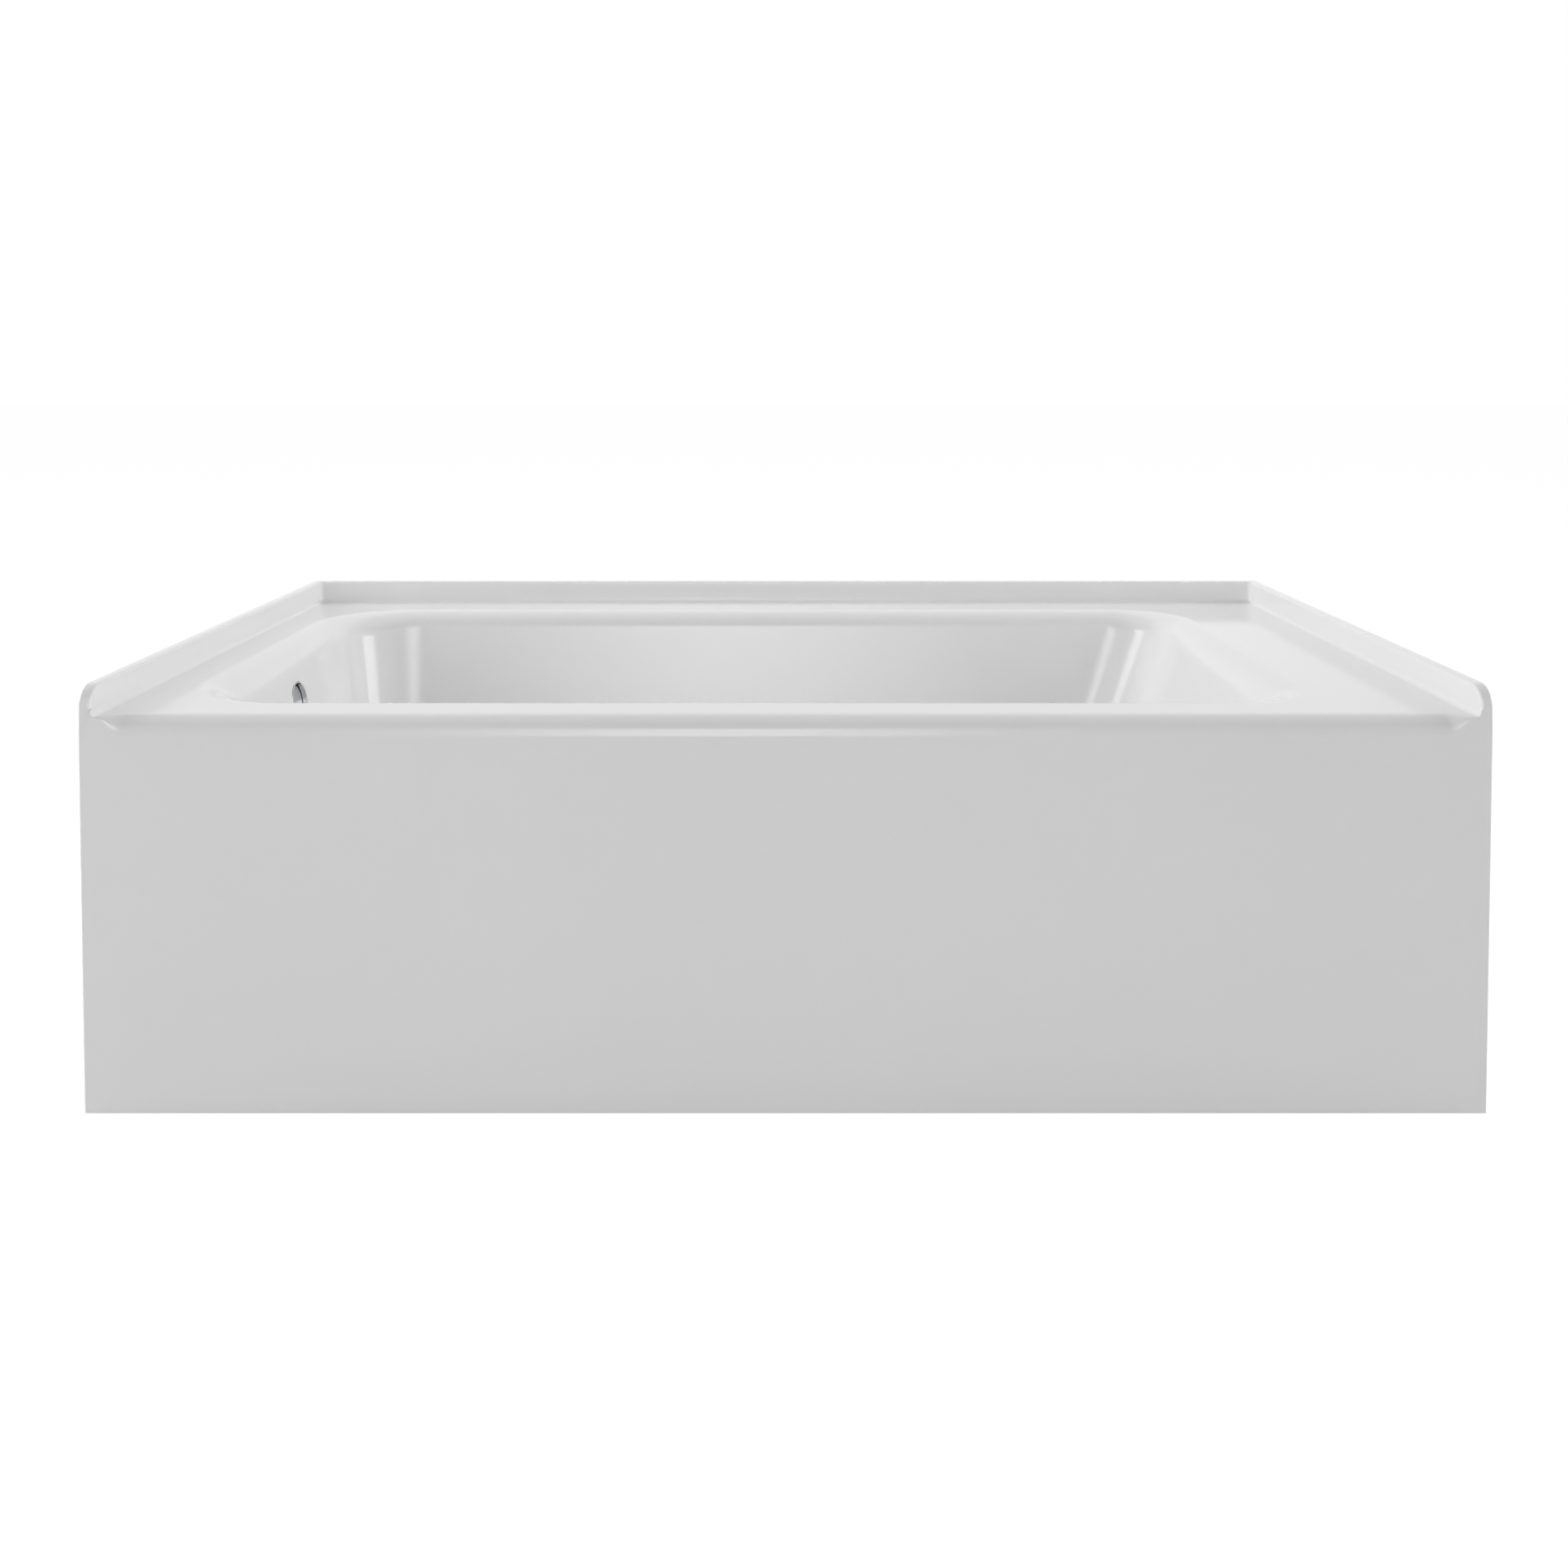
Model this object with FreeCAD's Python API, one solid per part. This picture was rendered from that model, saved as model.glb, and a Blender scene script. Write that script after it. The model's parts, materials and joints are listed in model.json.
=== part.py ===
import FreeCAD, Part
import math
import os
from FreeCAD import Vector

# Alcove bathtub with an integral apron: a formed acrylic sheet with a fibreglass backing, a timber
# base board on two steel channels with levelling feet, and a waste and overflow set.
# Millimetres. X runs along the tub with the drain end at -X, Y runs from the apron (-Y) to the
# wall (+Y), Z is up, and the origin is on the floor under the middle of the tub.

# ---- Overall size ----
TUB_LENGTH = 1524.0
TUB_DEPTH = 762.0
TUB_HEIGHT = 460.0
FLANGE_HEIGHT = 33.0
APRON_GAP = 1.0
END_DRAFT = 7.0

# ---- Formed sheet ----
SHEET = 4.0
LAMINATE = 3.0
FLANGE_THICKNESS = 13.0
FLANGE_NOSE_RADIUS = 24.0
FLANGE_COVE = 5.5
FLANGE_CORNER = 6.0
FRONT_ROLL = 22.0
OUTER_EDGE_RADIUS = 2.0
SKIRT_DEPTH = 57.0
APRON_RETURN = 30.0

# ---- Basin ----
FLOOR_HEIGHT = 80.0
FLOOR_FILLET = 45.0
FLOOR_CORNER = 32.0
RIM_LEFT = 62.0
RIM_RIGHT = 152.0
RIM_FRONT = 62.0
RIM_BACK = 80.0
ROLL_LEFT = 42.0
ROLL_RIGHT = 48.0
ROLL_FRONT = 27.0
ROLL_BACK = 32.0
SLOPE_LEFT = 11.5
SLOPE_RIGHT = 24.5
SLOPE_FRONT = 14.5
SLOPE_BACK = 14.5
RIM_CORNER_LEFT = 125.0
RIM_CORNER_RIGHT = 92.0
DISH_RADIUS = 39.0
DISH_DEPTH = 3.0

# ---- Base board, channels and feet ----
BOARD = 12.0
BOARD_MARGIN = 8.0
BOARD_NOTCH_CLEARANCE = 8.0
CHANNEL_WIDTH = 42.0
CHANNEL_HEIGHT = 25.0
CHANNEL_WALL = 2.5
CHANNEL_INSET = 170.0
CHANNEL_END = 24.0
FOOT_SETBACK = 106.0
STUD_RADIUS = 6.0
STUD_FIT = 0.06
STUD_TOP = 92.0
STUD_HEX_FLATS = 14.0
STUD_HEX = 6.0
STUD_HEX_HEIGHT = 20.0
NUT_FLATS = 18.0
WELD_NUT = 10.0
LOCK_NUT = 6.0
PAD_RADIUS = 25.0
PAD_TOP = 15.0
PAD_SOCKET_FLOOR = 6.0
SCREW_RADIUS = 2.4
SCREW_FLATS = 8.0
SCREW_HEAD = 3.0
SCREW_BITE = 9.0
SCREW_CLEARANCE = 0.3
SCREW_PITCH = 110.0
SCREWS_PER_CHANNEL = 3

# ---- Apron timber ----
BATTEN_THICKNESS = 18.0
BATTEN_HEIGHT = 45.0
BATTEN_END_GAP = 12.0
BATTEN_FOOT = 6.0
STIFFENER_WIDTH = 38.0
STIFFENER_THICKNESS = 12.0
STIFFENER_PITCH = 370.0
STIFFENERS = 4
STIFFENER_HEAD_GAP = 14.0

# ---- Waste and overflow ----
TUBE_RADIUS = 19.05
TUBE_WALL = 1.5
TUBE_FIT = 0.05
FITTING_WALL = 4.5
SOCKET_DEPTH = 20.0
OVERFLOW_DROP = 69.0
OVERFLOW_LIP_RADIUS = 25.8
OVERFLOW_LIP = 1.0
OVERFLOW_BARREL_RADIUS = 24.4
OVERFLOW_BORE_RADIUS = 23.0
OVERFLOW_BARREL = 20.0
OVERFLOW_PLATE_RADIUS = 21.2
OVERFLOW_PLATE_DEPTH = 5.0
OVERFLOW_PLATE = 2.0
OVERFLOW_STEM_RADIUS = 4.0
HOLE_CLEARANCE = 0.3
GASKET = 3.0
GASKET_RADIUS = 34.0
ELBOW_CUP = 42.0
ELBOW_FLANGE = 4.0
ELBOW_DROP = 60.0
ELBOW_SHOULDER = 6.0
RISER_SETBACK = 34.0
WASTE_DROP = 38.0
OUTLET_GAP = 3.0
TEE_RISE = 43.0
TEE_REACH = 46.0
SHOE_REACH = 56.0
SHOE_FLANGE = 4.0
SLIP_NUT = 15.0
SLIP_NUT_LIP = 4.0
SLIP_NUT_FLATS = 53.0
SLIP_NUT_FIT = 0.1
SLIP_WASHER = 3.0
DRAIN_SETBACK = 53.0
STRAINER_RADIUS = 36.0
STRAINER_FLANGE = 3.0
STRAINER_EDGE = 1.5
STRAINER_BARREL_RADIUS = 24.0
STRAINER_BORE_RADIUS = 20.5
STRAINER_DEPTH = 26.0
SEAT_RADIUS = 27.0
SEAT_DEPTH = 4.0
SPIDER = 4.0
SPIDER_ARMS = 4
HUB_RADIUS = 8.0
HUB_HEIGHT = 8.0
STEM_RADIUS = 4.5
STEM_FIT = 0.05
STEM_COLLAR_RADIUS = 6.5
STEM_COLLAR = 2.0
STOPPER_RADIUS = 31.0
STOPPER_EDGE = 2.0
STOPPER_HEIGHT = 7.0
STOPPER_SHOULDER_RADIUS = 26.5
STOPPER_SHOULDER = 5.0
STOPPER_CROWN_RADIUS = 15.5
STOPPER_LIFT = 9.0
SEAL_RADIUS = 29.0
SEAL_BORE_RADIUS = 22.0
SEAL_HEIGHT = 2.0

# ---- Derived places ----
HALF_LENGTH = TUB_LENGTH / 2
HALF_DEPTH = TUB_DEPTH / 2
DECK_HEIGHT = TUB_HEIGHT - FLANGE_HEIGHT
SKIRT_FOOT = TUB_HEIGHT - SKIRT_DEPTH
OVERFLOW_HEIGHT = DECK_HEIGHT - OVERFLOW_DROP
WASTE_AXIS_HEIGHT = FLOOR_HEIGHT - WASTE_DROP
TEE_HEIGHT = WASTE_AXIS_HEIGHT + TEE_RISE
BACKED = SHEET + LAMINATE
BELOW = -TUB_HEIGHT / 8
ABOVE = TUB_HEIGHT * 1.25

# Each basin side: rim inset from the tub's outer face, roll radius and slope from the vertical.
SIDES = {
    "left": (RIM_LEFT, ROLL_LEFT, math.radians(SLOPE_LEFT)),
    "right": (RIM_RIGHT, ROLL_RIGHT, math.radians(SLOPE_RIGHT)),
    "front": (RIM_FRONT, ROLL_FRONT, math.radians(SLOPE_FRONT)),
    "back": (RIM_BACK, ROLL_BACK, math.radians(SLOPE_BACK)),
}


def box(x0, x1, y0, y1, z0, z1):
    """Box between two corners."""
    return Part.makeBox(x1 - x0, y1 - y0, z1 - z0, Vector(x0, y0, z0))


def disc(radius, z0, z1, x=0.0, y=0.0):
    """Upright cylinder."""
    return Part.makeCylinder(radius, z1 - z0, Vector(x, y, z0))


def ring(outer, inner, z0, z1, x=0.0, y=0.0):
    """Upright tube."""
    return disc(outer, z0, z1, x, y).cut(disc(inner, z0 - 1, z1 + 1, x, y))


def rod(radius, x0, x1, z):
    """Cylinder along X in the middle plane of the drain."""
    return Part.makeCylinder(radius, x1 - x0, Vector(x0, drain_y(), z), Vector(1, 0, 0))


def revolved(points):
    """Solid of revolution about Z from (radius, height) corners."""
    outline = [Vector(radius, 0, height) for radius, height in points]
    face = Part.Face(Part.makePolygon(outline + outline[:1]))
    return face.revolve(Vector(0, 0, 0), Vector(0, 0, 1), 360)


def prism(sides, flats, z0, z1, x=0.0, y=0.0):
    """Upright prism with regular sides, measured across its flats."""
    corner = flats / 2 / math.cos(math.pi / sides)
    turns = [2 * math.pi * (step + 0.5) / sides for step in range(sides + 1)]
    outline = [Vector(x + corner * math.cos(a), y + corner * math.sin(a), z0) for a in turns]
    return Part.Face(Part.makePolygon(outline)).extrude(Vector(0, 0, z1 - z0))


def group(solids):
    """Several identical solids as one sub-part."""
    return Part.makeCompound(solids)


def rounded_outline(x0, x1, y0, y1, z, left_radius, right_radius):
    """Closed outline with one corner radius at each end."""
    half = math.sqrt(0.5)
    corners = [
        (x1, y0, -1, 1, right_radius),
        (x1, y1, -1, -1, right_radius),
        (x0, y1, 1, -1, left_radius),
        (x0, y0, 1, 1, left_radius),
    ]
    arcs = []
    for index, (x, y, in_x, in_y, r) in enumerate(corners):
        centre = Vector(x + in_x * r, y + in_y * r, z)
        middle = centre + Vector(-in_x * r * half, -in_y * r * half, 0)
        across = centre + Vector(0, -in_y * r, 0)
        along = centre + Vector(-in_x * r, 0, 0)
        ends = (across, along) if index % 2 == 0 else (along, across)
        arcs.append(Part.Arc(ends[0], middle, ends[1]).toShape())
    edges = []
    for index, arc in enumerate(arcs):
        following = arcs[(index + 1) % 4]
        edges.append(arc)
        edges.append(Part.makeLine(arc.valueAt(arc.LastParameter), following.valueAt(following.FirstParameter)))
    return Part.Wire(edges)


def side_inset(side, z, grown):
    """How far the basin surface, grown outward by `grown`, lies inside the rim line at height z."""
    rim, roll, slope = SIDES[side]
    roll_radius = roll - grown
    roll_centre = DECK_HEIGHT - roll
    wall_top = roll_centre + roll_radius * math.sin(slope)
    fillet_radius = FLOOR_FILLET + grown
    fillet_centre = FLOOR_HEIGHT + FLOOR_FILLET
    wall_foot = fillet_centre - fillet_radius * math.sin(slope)
    if z >= wall_top:
        return math.sqrt(max(roll_radius ** 2 - (z - roll_centre) ** 2, 0.0))
    top_inset = roll_radius * math.cos(slope)
    if z >= wall_foot:
        return top_inset + math.tan(slope) * (wall_top - z)
    foot_inset = top_inset + math.tan(slope) * (wall_top - wall_foot)
    floor_inset = foot_inset + fillet_radius * math.cos(slope)
    return floor_inset - math.sqrt(max(fillet_radius ** 2 - (fillet_centre - z) ** 2, 0.0))


def corner_radius(rim_radius, end, z, grown):
    """Plan radius of the two corners at one end; it tightens as the walls close in on the floor."""
    inset = side_inset(end, z, grown) + side_inset("front", z, grown)
    floor_inset = side_inset(end, FLOOR_HEIGHT, 0) + side_inset("front", FLOOR_HEIGHT, 0)
    return rim_radius - (rim_radius - FLOOR_CORNER) * inset / floor_inset + grown


def basin_outline(z, grown):
    """Plan outline of the basin surface at height z, grown outward by `grown`."""
    reach = {side: SIDES[side][0] + side_inset(side, z, grown) for side in SIDES}
    return rounded_outline(
        -HALF_LENGTH + reach["left"], HALF_LENGTH - reach["right"],
        -HALF_DEPTH + reach["front"], HALF_DEPTH - reach["back"], z,
        corner_radius(RIM_CORNER_LEFT, "left", z, grown),
        corner_radius(RIM_CORNER_RIGHT, "right", z, grown))


def wall_top(side, grown):
    """Height at which a side's roll ends and its straight wall begins."""
    rim, roll, slope = SIDES[side]
    return DECK_HEIGHT - roll + (roll - grown) * math.sin(slope)


def basin_heights(grown):
    """Section heights: close together round the roll and the floor fillet, wide apart on the walls."""
    straight = min(wall_top(side, grown) for side in SIDES)
    roll_depth = DECK_HEIGHT - grown - straight
    roll = [straight + roll_depth * math.cos(math.radians(a)) for a in (0, 20, 42, 66, 90)]
    fillet_radius = FLOOR_FILLET + grown
    fillet_centre = FLOOR_HEIGHT + FLOOR_FILLET
    fillet = [fillet_centre - fillet_radius * math.sin(math.radians(a)) for a in (14, 38, 62, 90)]
    return roll + fillet


def basin(grown):
    """The basin's hollow grown outward by `grown`, with the dish round the drain."""
    sections = [basin_outline(z, grown) for z in basin_heights(grown)]
    hollow = Part.makeLoft(sections, True, True)
    dish = disc(DISH_RADIUS + grown, FLOOR_HEIGHT - DISH_DEPTH - grown, FLOOR_HEIGHT + FLOOR_FILLET,
                drain_x(), drain_y())
    return hollow.fuse(dish)


def floor_edge(side):
    """Distance from the tub's outer face to the edge of the flat basin floor."""
    return SIDES[side][0] + side_inset(side, FLOOR_HEIGHT, 0)


def drain_x():
    """Place of the drain along the tub."""
    return -HALF_LENGTH + floor_edge("left") + DRAIN_SETBACK


def drain_y():
    """The drain is midway across the basin floor."""
    return (floor_edge("front") - floor_edge("back")) / 2


def outer_block(inset, bottom):
    """The tub's outer form as a block, `inset` behind the visible faces, drafted below the skirt."""
    x = HALF_LENGTH - inset
    top = TUB_HEIGHT - inset
    foot = x - END_DRAFT * (SKIRT_FOOT - bottom) / SKIRT_FOOT
    front = -HALF_DEPTH + inset
    outline = Part.makePolygon([
        Vector(-foot, front, bottom), Vector(foot, front, bottom), Vector(x, front, SKIRT_FOOT),
        Vector(x, front, top), Vector(-x, front, top), Vector(-x, front, SKIRT_FOOT),
        Vector(-foot, front, bottom)])
    block = Part.Face(outline).extrude(Vector(0, TUB_DEPTH - 2 * inset, 0))
    nose = [e for e in block.Edges if e.BoundBox.ZMin > top - 0.01 and e.BoundBox.YMax < front + 0.01]
    block = block.makeFillet(FLANGE_NOSE_RADIUS - inset, nose)
    radius = OUTER_EDGE_RADIUS - inset
    if radius <= 0:
        return block
    return block.makeFillet(radius, [edge for edge in block.Edges if is_outer_edge(edge, x)])


def is_outer_edge(edge, x):
    """The upright and top edges of the two ends and the long top back edge, down to the draft."""
    bounds = edge.BoundBox
    on_end = abs(abs(bounds.Center.x) - x) < 0.01 and bounds.XLength < 0.01
    at_draft = bounds.ZMax < SKIRT_FOOT + 0.01
    top_back = bounds.ZMin > TUB_HEIGHT - 0.01 and bounds.YMin > HALF_DEPTH - 0.01
    drafted = 0.01 < bounds.XLength < 2 * END_DRAFT
    return (on_end and not at_draft) or top_back or drafted


def deck_void(grown):
    """The open space above the deck, grown into the sheet by `grown`; the deck rolls over in front.

    The visible surface has the flange's cove and rounded corners. Behind it they are left square,
    where the sheet and the laminate are thicker.
    """
    x = HALF_LENGTH - FLANGE_THICKNESS + grown
    deck = DECK_HEIGHT - grown
    back = HALF_DEPTH - FLANGE_THICKNESS + grown
    radius = FRONT_ROLL - grown
    face = -HALF_DEPTH + grown
    outside = -HALF_DEPTH - FRONT_ROLL
    half = radius * math.sqrt(0.5)
    centre = Vector(-x, face + radius, deck - radius)
    roll = Part.Arc(Vector(-x, face + radius, deck), centre + Vector(0, -half, half),
                    Vector(-x, face, deck - radius))
    low = deck - radius - FRONT_ROLL
    rest = Part.makePolygon([
        Vector(-x, face, deck - radius), Vector(-x, face, low), Vector(-x, outside, low),
        Vector(-x, outside, ABOVE), Vector(-x, back, ABOVE), Vector(-x, back, deck),
        Vector(-x, face + radius, deck)])
    void = Part.Face(Part.Wire([roll.toShape()] + rest.Edges)).extrude(Vector(2 * x, 0, 0))
    if grown > 0:
        return void
    upright = [e for e in void.Edges if is_upright(e) and e.BoundBox.YMin > back - 0.01]
    void = void.makeFillet(FLANGE_CORNER, upright)
    foot = [e for e in void.Edges if is_deck_edge(e, x, deck, deck - radius)]
    return void.makeFillet(FLANGE_COVE, foot)


def is_upright(edge):
    """A vertical edge."""
    bounds = edge.BoundBox
    return bounds.XLength < 0.01 and bounds.YLength < 0.01


def is_deck_edge(edge, x, deck, roll_foot):
    """An edge where the flange meets the deck or the front roll."""
    bounds = edge.BoundBox
    at_side = bounds.XLength < 0.01 and abs(abs(bounds.Center.x) - x) < 0.01
    on_roll = at_side and bounds.ZMax < deck + 0.01 and bounds.ZMin > roll_foot - 0.01
    on_deck = bounds.ZLength < 0.01 and abs(bounds.ZMax - deck) < 0.01 and bounds.YMax > 0
    return on_roll or on_deck


def skin(depth, bottom):
    """Everything that lies `depth` or more behind the tub's visible surface."""
    return outer_block(depth, bottom).cut(deck_void(depth)).cut(basin(depth))


def trim():
    """The open back and ends below the skirt, behind the apron's returns."""
    behind_return = -HALF_DEPTH + APRON_RETURN
    width = FLANGE_THICKNESS + BACKED
    left = box(-HALF_LENGTH - 1, -HALF_LENGTH + width, behind_return, HALF_DEPTH + 1, BELOW, SKIRT_FOOT)
    right = left.mirror(Vector(0, 0, 0), Vector(1, 0, 0))
    back = box(-HALF_LENGTH, HALF_LENGTH, HALF_DEPTH - width, HALF_DEPTH + 1, BELOW, SKIRT_FOOT)
    return left.fuse(right).fuse(back)


# ---- The tub: acrylic sheet and its backing ----

def tub_shell():
    """Acrylic sheet: apron, deck, tile flange, basin, with the drain and overflow holes."""
    sheet = skin(0, APRON_GAP).cut(skin(SHEET, BELOW)).cut(trim())
    return sheet.cut(drain_hole()).cut(overflow_hole())


def fibreglass_backing():
    """Sprayed laminate that follows the back of the sheet."""
    layer = skin(SHEET, APRON_GAP).cut(skin(BACKED, BELOW)).cut(trim())
    return layer.cut(drain_hole()).cut(overflow_hole())


def drain_hole():
    """Hole for the drain's barrel."""
    return disc(STRAINER_BARREL_RADIUS + HOLE_CLEARANCE, BELOW, DECK_HEIGHT / 2, drain_x(), drain_y())


def overflow_hole():
    """Hole for the overflow ring, square to the end wall."""
    return at_overflow(disc(OVERFLOW_BARREL_RADIUS + HOLE_CLEARANCE, -3 * BACKED, BACKED))


# ---- Base: board, channels and levelling feet ----

def board_top():
    """Underside of the backed basin floor."""
    return FLOOR_HEIGHT - BACKED


def web_top():
    """Top of the channels, against the board."""
    return board_top() - BOARD


def board_middle():
    """The board is midway across the flat floor."""
    return (floor_edge("front") - floor_edge("back")) / 2


def base_board():
    """Plywood board under the flat of the floor, notched round the waste and drilled for screws."""
    outline = rounded_outline(
        -HALF_LENGTH + floor_edge("left") + BOARD_MARGIN, HALF_LENGTH - floor_edge("right") - BOARD_MARGIN,
        -HALF_DEPTH + floor_edge("front") + BOARD_MARGIN, HALF_DEPTH - floor_edge("back") - BOARD_MARGIN,
        web_top(), FLOOR_CORNER, FLOOR_CORNER)
    board = Part.Face(outline).extrude(Vector(0, 0, BOARD))
    reach = SLIP_NUT_FLATS / 2 + BOARD_NOTCH_CLEARANCE
    slot = box(-HALF_LENGTH, drain_x(), drain_y() - reach, drain_y() + reach, BELOW, FLOOR_HEIGHT)
    notch = disc(DISH_RADIUS + BACKED + BOARD_NOTCH_CLEARANCE, BELOW, FLOOR_HEIGHT, drain_x(), drain_y())
    return board.cut(slot).cut(notch).cut(channel_screws())


def channel_x(end):
    """Place of a channel along the tub."""
    if end == "left":
        return -HALF_LENGTH + floor_edge("left") + CHANNEL_INSET
    return HALF_LENGTH - floor_edge("right") - CHANNEL_INSET


def foot_y(side):
    """Place of a foot across the tub."""
    reach = HALF_DEPTH - FOOT_SETBACK
    return -reach if side == "front" else reach


def channel(end):
    """Inverted steel channel across the tub, drilled for two studs and the board's screws."""
    x = channel_x(end)
    half = CHANNEL_WIDTH / 2
    reach = foot_y("back") + CHANNEL_END
    outer = box(x - half, x + half, -reach, reach, web_top() - CHANNEL_HEIGHT, web_top())
    inner = box(x - half + CHANNEL_WALL, x + half - CHANNEL_WALL, -reach - 1, reach + 1,
                web_top() - CHANNEL_HEIGHT - 1, web_top() - CHANNEL_WALL)
    top_edges = [e for e in outer.Edges if e.BoundBox.YLength > reach and e.BoundBox.ZMin > web_top() - 0.01]
    steel = outer.makeFillet(CHANNEL_WALL, top_edges).cut(inner)
    for side in ("front", "back"):
        steel = steel.cut(disc(STUD_RADIUS + HOLE_CLEARANCE, BELOW, FLOOR_HEIGHT, x, foot_y(side)))
    for y in screw_places():
        steel = steel.cut(disc(SCREW_RADIUS + SCREW_CLEARANCE, BELOW, FLOOR_HEIGHT, x, y))
    return steel


def screw_places():
    """Screw rows across the board."""
    middle = (SCREWS_PER_CHANNEL - 1) / 2
    return [board_middle() + (index - middle) * SCREW_PITCH for index in range(SCREWS_PER_CHANNEL)]


def channel_screws():
    """Hexagon-head screws from inside each channel into the board."""
    seat = web_top() - CHANNEL_WALL
    screws = []
    for end in ("left", "right"):
        for y in screw_places():
            head = prism(6, SCREW_FLATS, seat - SCREW_HEAD, seat, channel_x(end), y)
            shank = disc(SCREW_RADIUS, seat - SCREW_HEAD / 2, web_top() + SCREW_BITE, channel_x(end), y)
            screws.append(head.fuse(shank))
    return group(screws)


def nuts(z0, height):
    """One hexagon nut on every stud."""
    solids = []
    for end in ("left", "right"):
        for side in ("front", "back"):
            x, y = channel_x(end), foot_y(side)
            nut = prism(6, NUT_FLATS, z0, z0 + height, x, y)
            solids.append(nut.cut(disc(STUD_RADIUS + STUD_FIT, z0 - 1, z0 + height + 1, x, y)))
    return group(solids)


def weld_nuts():
    """Nuts welded inside the channels; the studs turn in them."""
    return nuts(web_top() - CHANNEL_WALL - WELD_NUT, WELD_NUT)


def lock_nuts():
    """Thin nuts on top of the channels."""
    return nuts(web_top(), LOCK_NUT)


def foot_pad(end, side):
    """Moulded pad with a socket in which the end of its stud turns."""
    x, y = channel_x(end), foot_y(side)
    return disc(PAD_RADIUS, 0, PAD_TOP, x, y).cut(disc(STUD_RADIUS + STUD_FIT, PAD_SOCKET_FLOOR, PAD_TOP + 1, x, y))


def foot_stud(end, side):
    """Levelling stud with a hexagon to turn it by."""
    x, y = channel_x(end), foot_y(side)
    shank = disc(STUD_RADIUS, PAD_SOCKET_FLOOR, STUD_TOP, x, y)
    return shank.fuse(prism(6, STUD_HEX_FLATS, STUD_HEX_HEIGHT, STUD_HEX_HEIGHT + STUD_HEX, x, y))


# ---- Apron timber ----

def apron_batten():
    """Timber rail along the foot of the apron."""
    x = HALF_LENGTH - BACKED - BATTEN_END_GAP
    y = -HALF_DEPTH + BACKED
    return box(-x, x, y, y + BATTEN_THICKNESS, BATTEN_FOOT, BATTEN_FOOT + BATTEN_HEIGHT)


def apron_stiffeners():
    """Upright slats behind the apron, standing on the batten."""
    y = -HALF_DEPTH + BACKED
    top = DECK_HEIGHT - FRONT_ROLL - STIFFENER_HEAD_GAP
    slats = []
    for index in range(STIFFENERS):
        x = (index - (STIFFENERS - 1) / 2) * STIFFENER_PITCH
        slats.append(box(x - STIFFENER_WIDTH / 2, x + STIFFENER_WIDTH / 2, y, y + STIFFENER_THICKNESS,
                         BATTEN_FOOT + BATTEN_HEIGHT, top))
    return group(slats)


# ---- Overflow ----

def wall_x():
    """The end wall's surface at the height of the overflow."""
    return -HALF_LENGTH + RIM_LEFT + side_inset("left", OVERFLOW_HEIGHT, 0)


def at_overflow(shape):
    """Place a shape made about Z, with its origin on the end wall and Z out of the wall."""
    placed = shape.copy()
    placed.rotate(Vector(0, 0, 0), Vector(0, 1, 0), 90 - SLOPE_LEFT)
    placed.translate(Vector(wall_x(), drain_y(), OVERFLOW_HEIGHT))
    return placed


def riser_x():
    """Axis of the overflow pipe, behind the end wall."""
    return wall_x() - RISER_SETBACK * math.cos(math.radians(SLOPE_LEFT))


def elbow_foot():
    """Lower end of the overflow elbow."""
    return OVERFLOW_HEIGHT - ELBOW_DROP


def overflow_ring():
    """Chrome ring: a thin lip on the wall and a barrel through it."""
    solid = revolved([
        (OVERFLOW_BORE_RADIUS, -OVERFLOW_BARREL), (OVERFLOW_BARREL_RADIUS, -OVERFLOW_BARREL),
        (OVERFLOW_BARREL_RADIUS, 0), (OVERFLOW_LIP_RADIUS, 0),
        (OVERFLOW_LIP_RADIUS, OVERFLOW_LIP / 2), (OVERFLOW_LIP_RADIUS - OVERFLOW_LIP / 2, OVERFLOW_LIP),
        (OVERFLOW_BORE_RADIUS, OVERFLOW_LIP)])
    return at_overflow(solid)


def elbow_back():
    """Inner face of the elbow's cup, measured from the wall's surface."""
    return BACKED + GASKET + ELBOW_CUP


def overflow_plate():
    """Flat plate inside the ring, on a stem that seats in the elbow; water enters round its edge."""
    face = disc(OVERFLOW_PLATE_RADIUS, -OVERFLOW_PLATE_DEPTH - OVERFLOW_PLATE, -OVERFLOW_PLATE_DEPTH)
    stem = disc(OVERFLOW_STEM_RADIUS, -elbow_back(), -OVERFLOW_PLATE_DEPTH - OVERFLOW_PLATE / 2)
    return at_overflow(face.fuse(stem))


def overflow_gasket():
    """Rubber ring between the backing and the elbow's flange."""
    bore = OVERFLOW_BARREL_RADIUS + HOLE_CLEARANCE
    return at_overflow(ring(GASKET_RADIUS, bore, -BACKED - GASKET, -BACKED))


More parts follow.
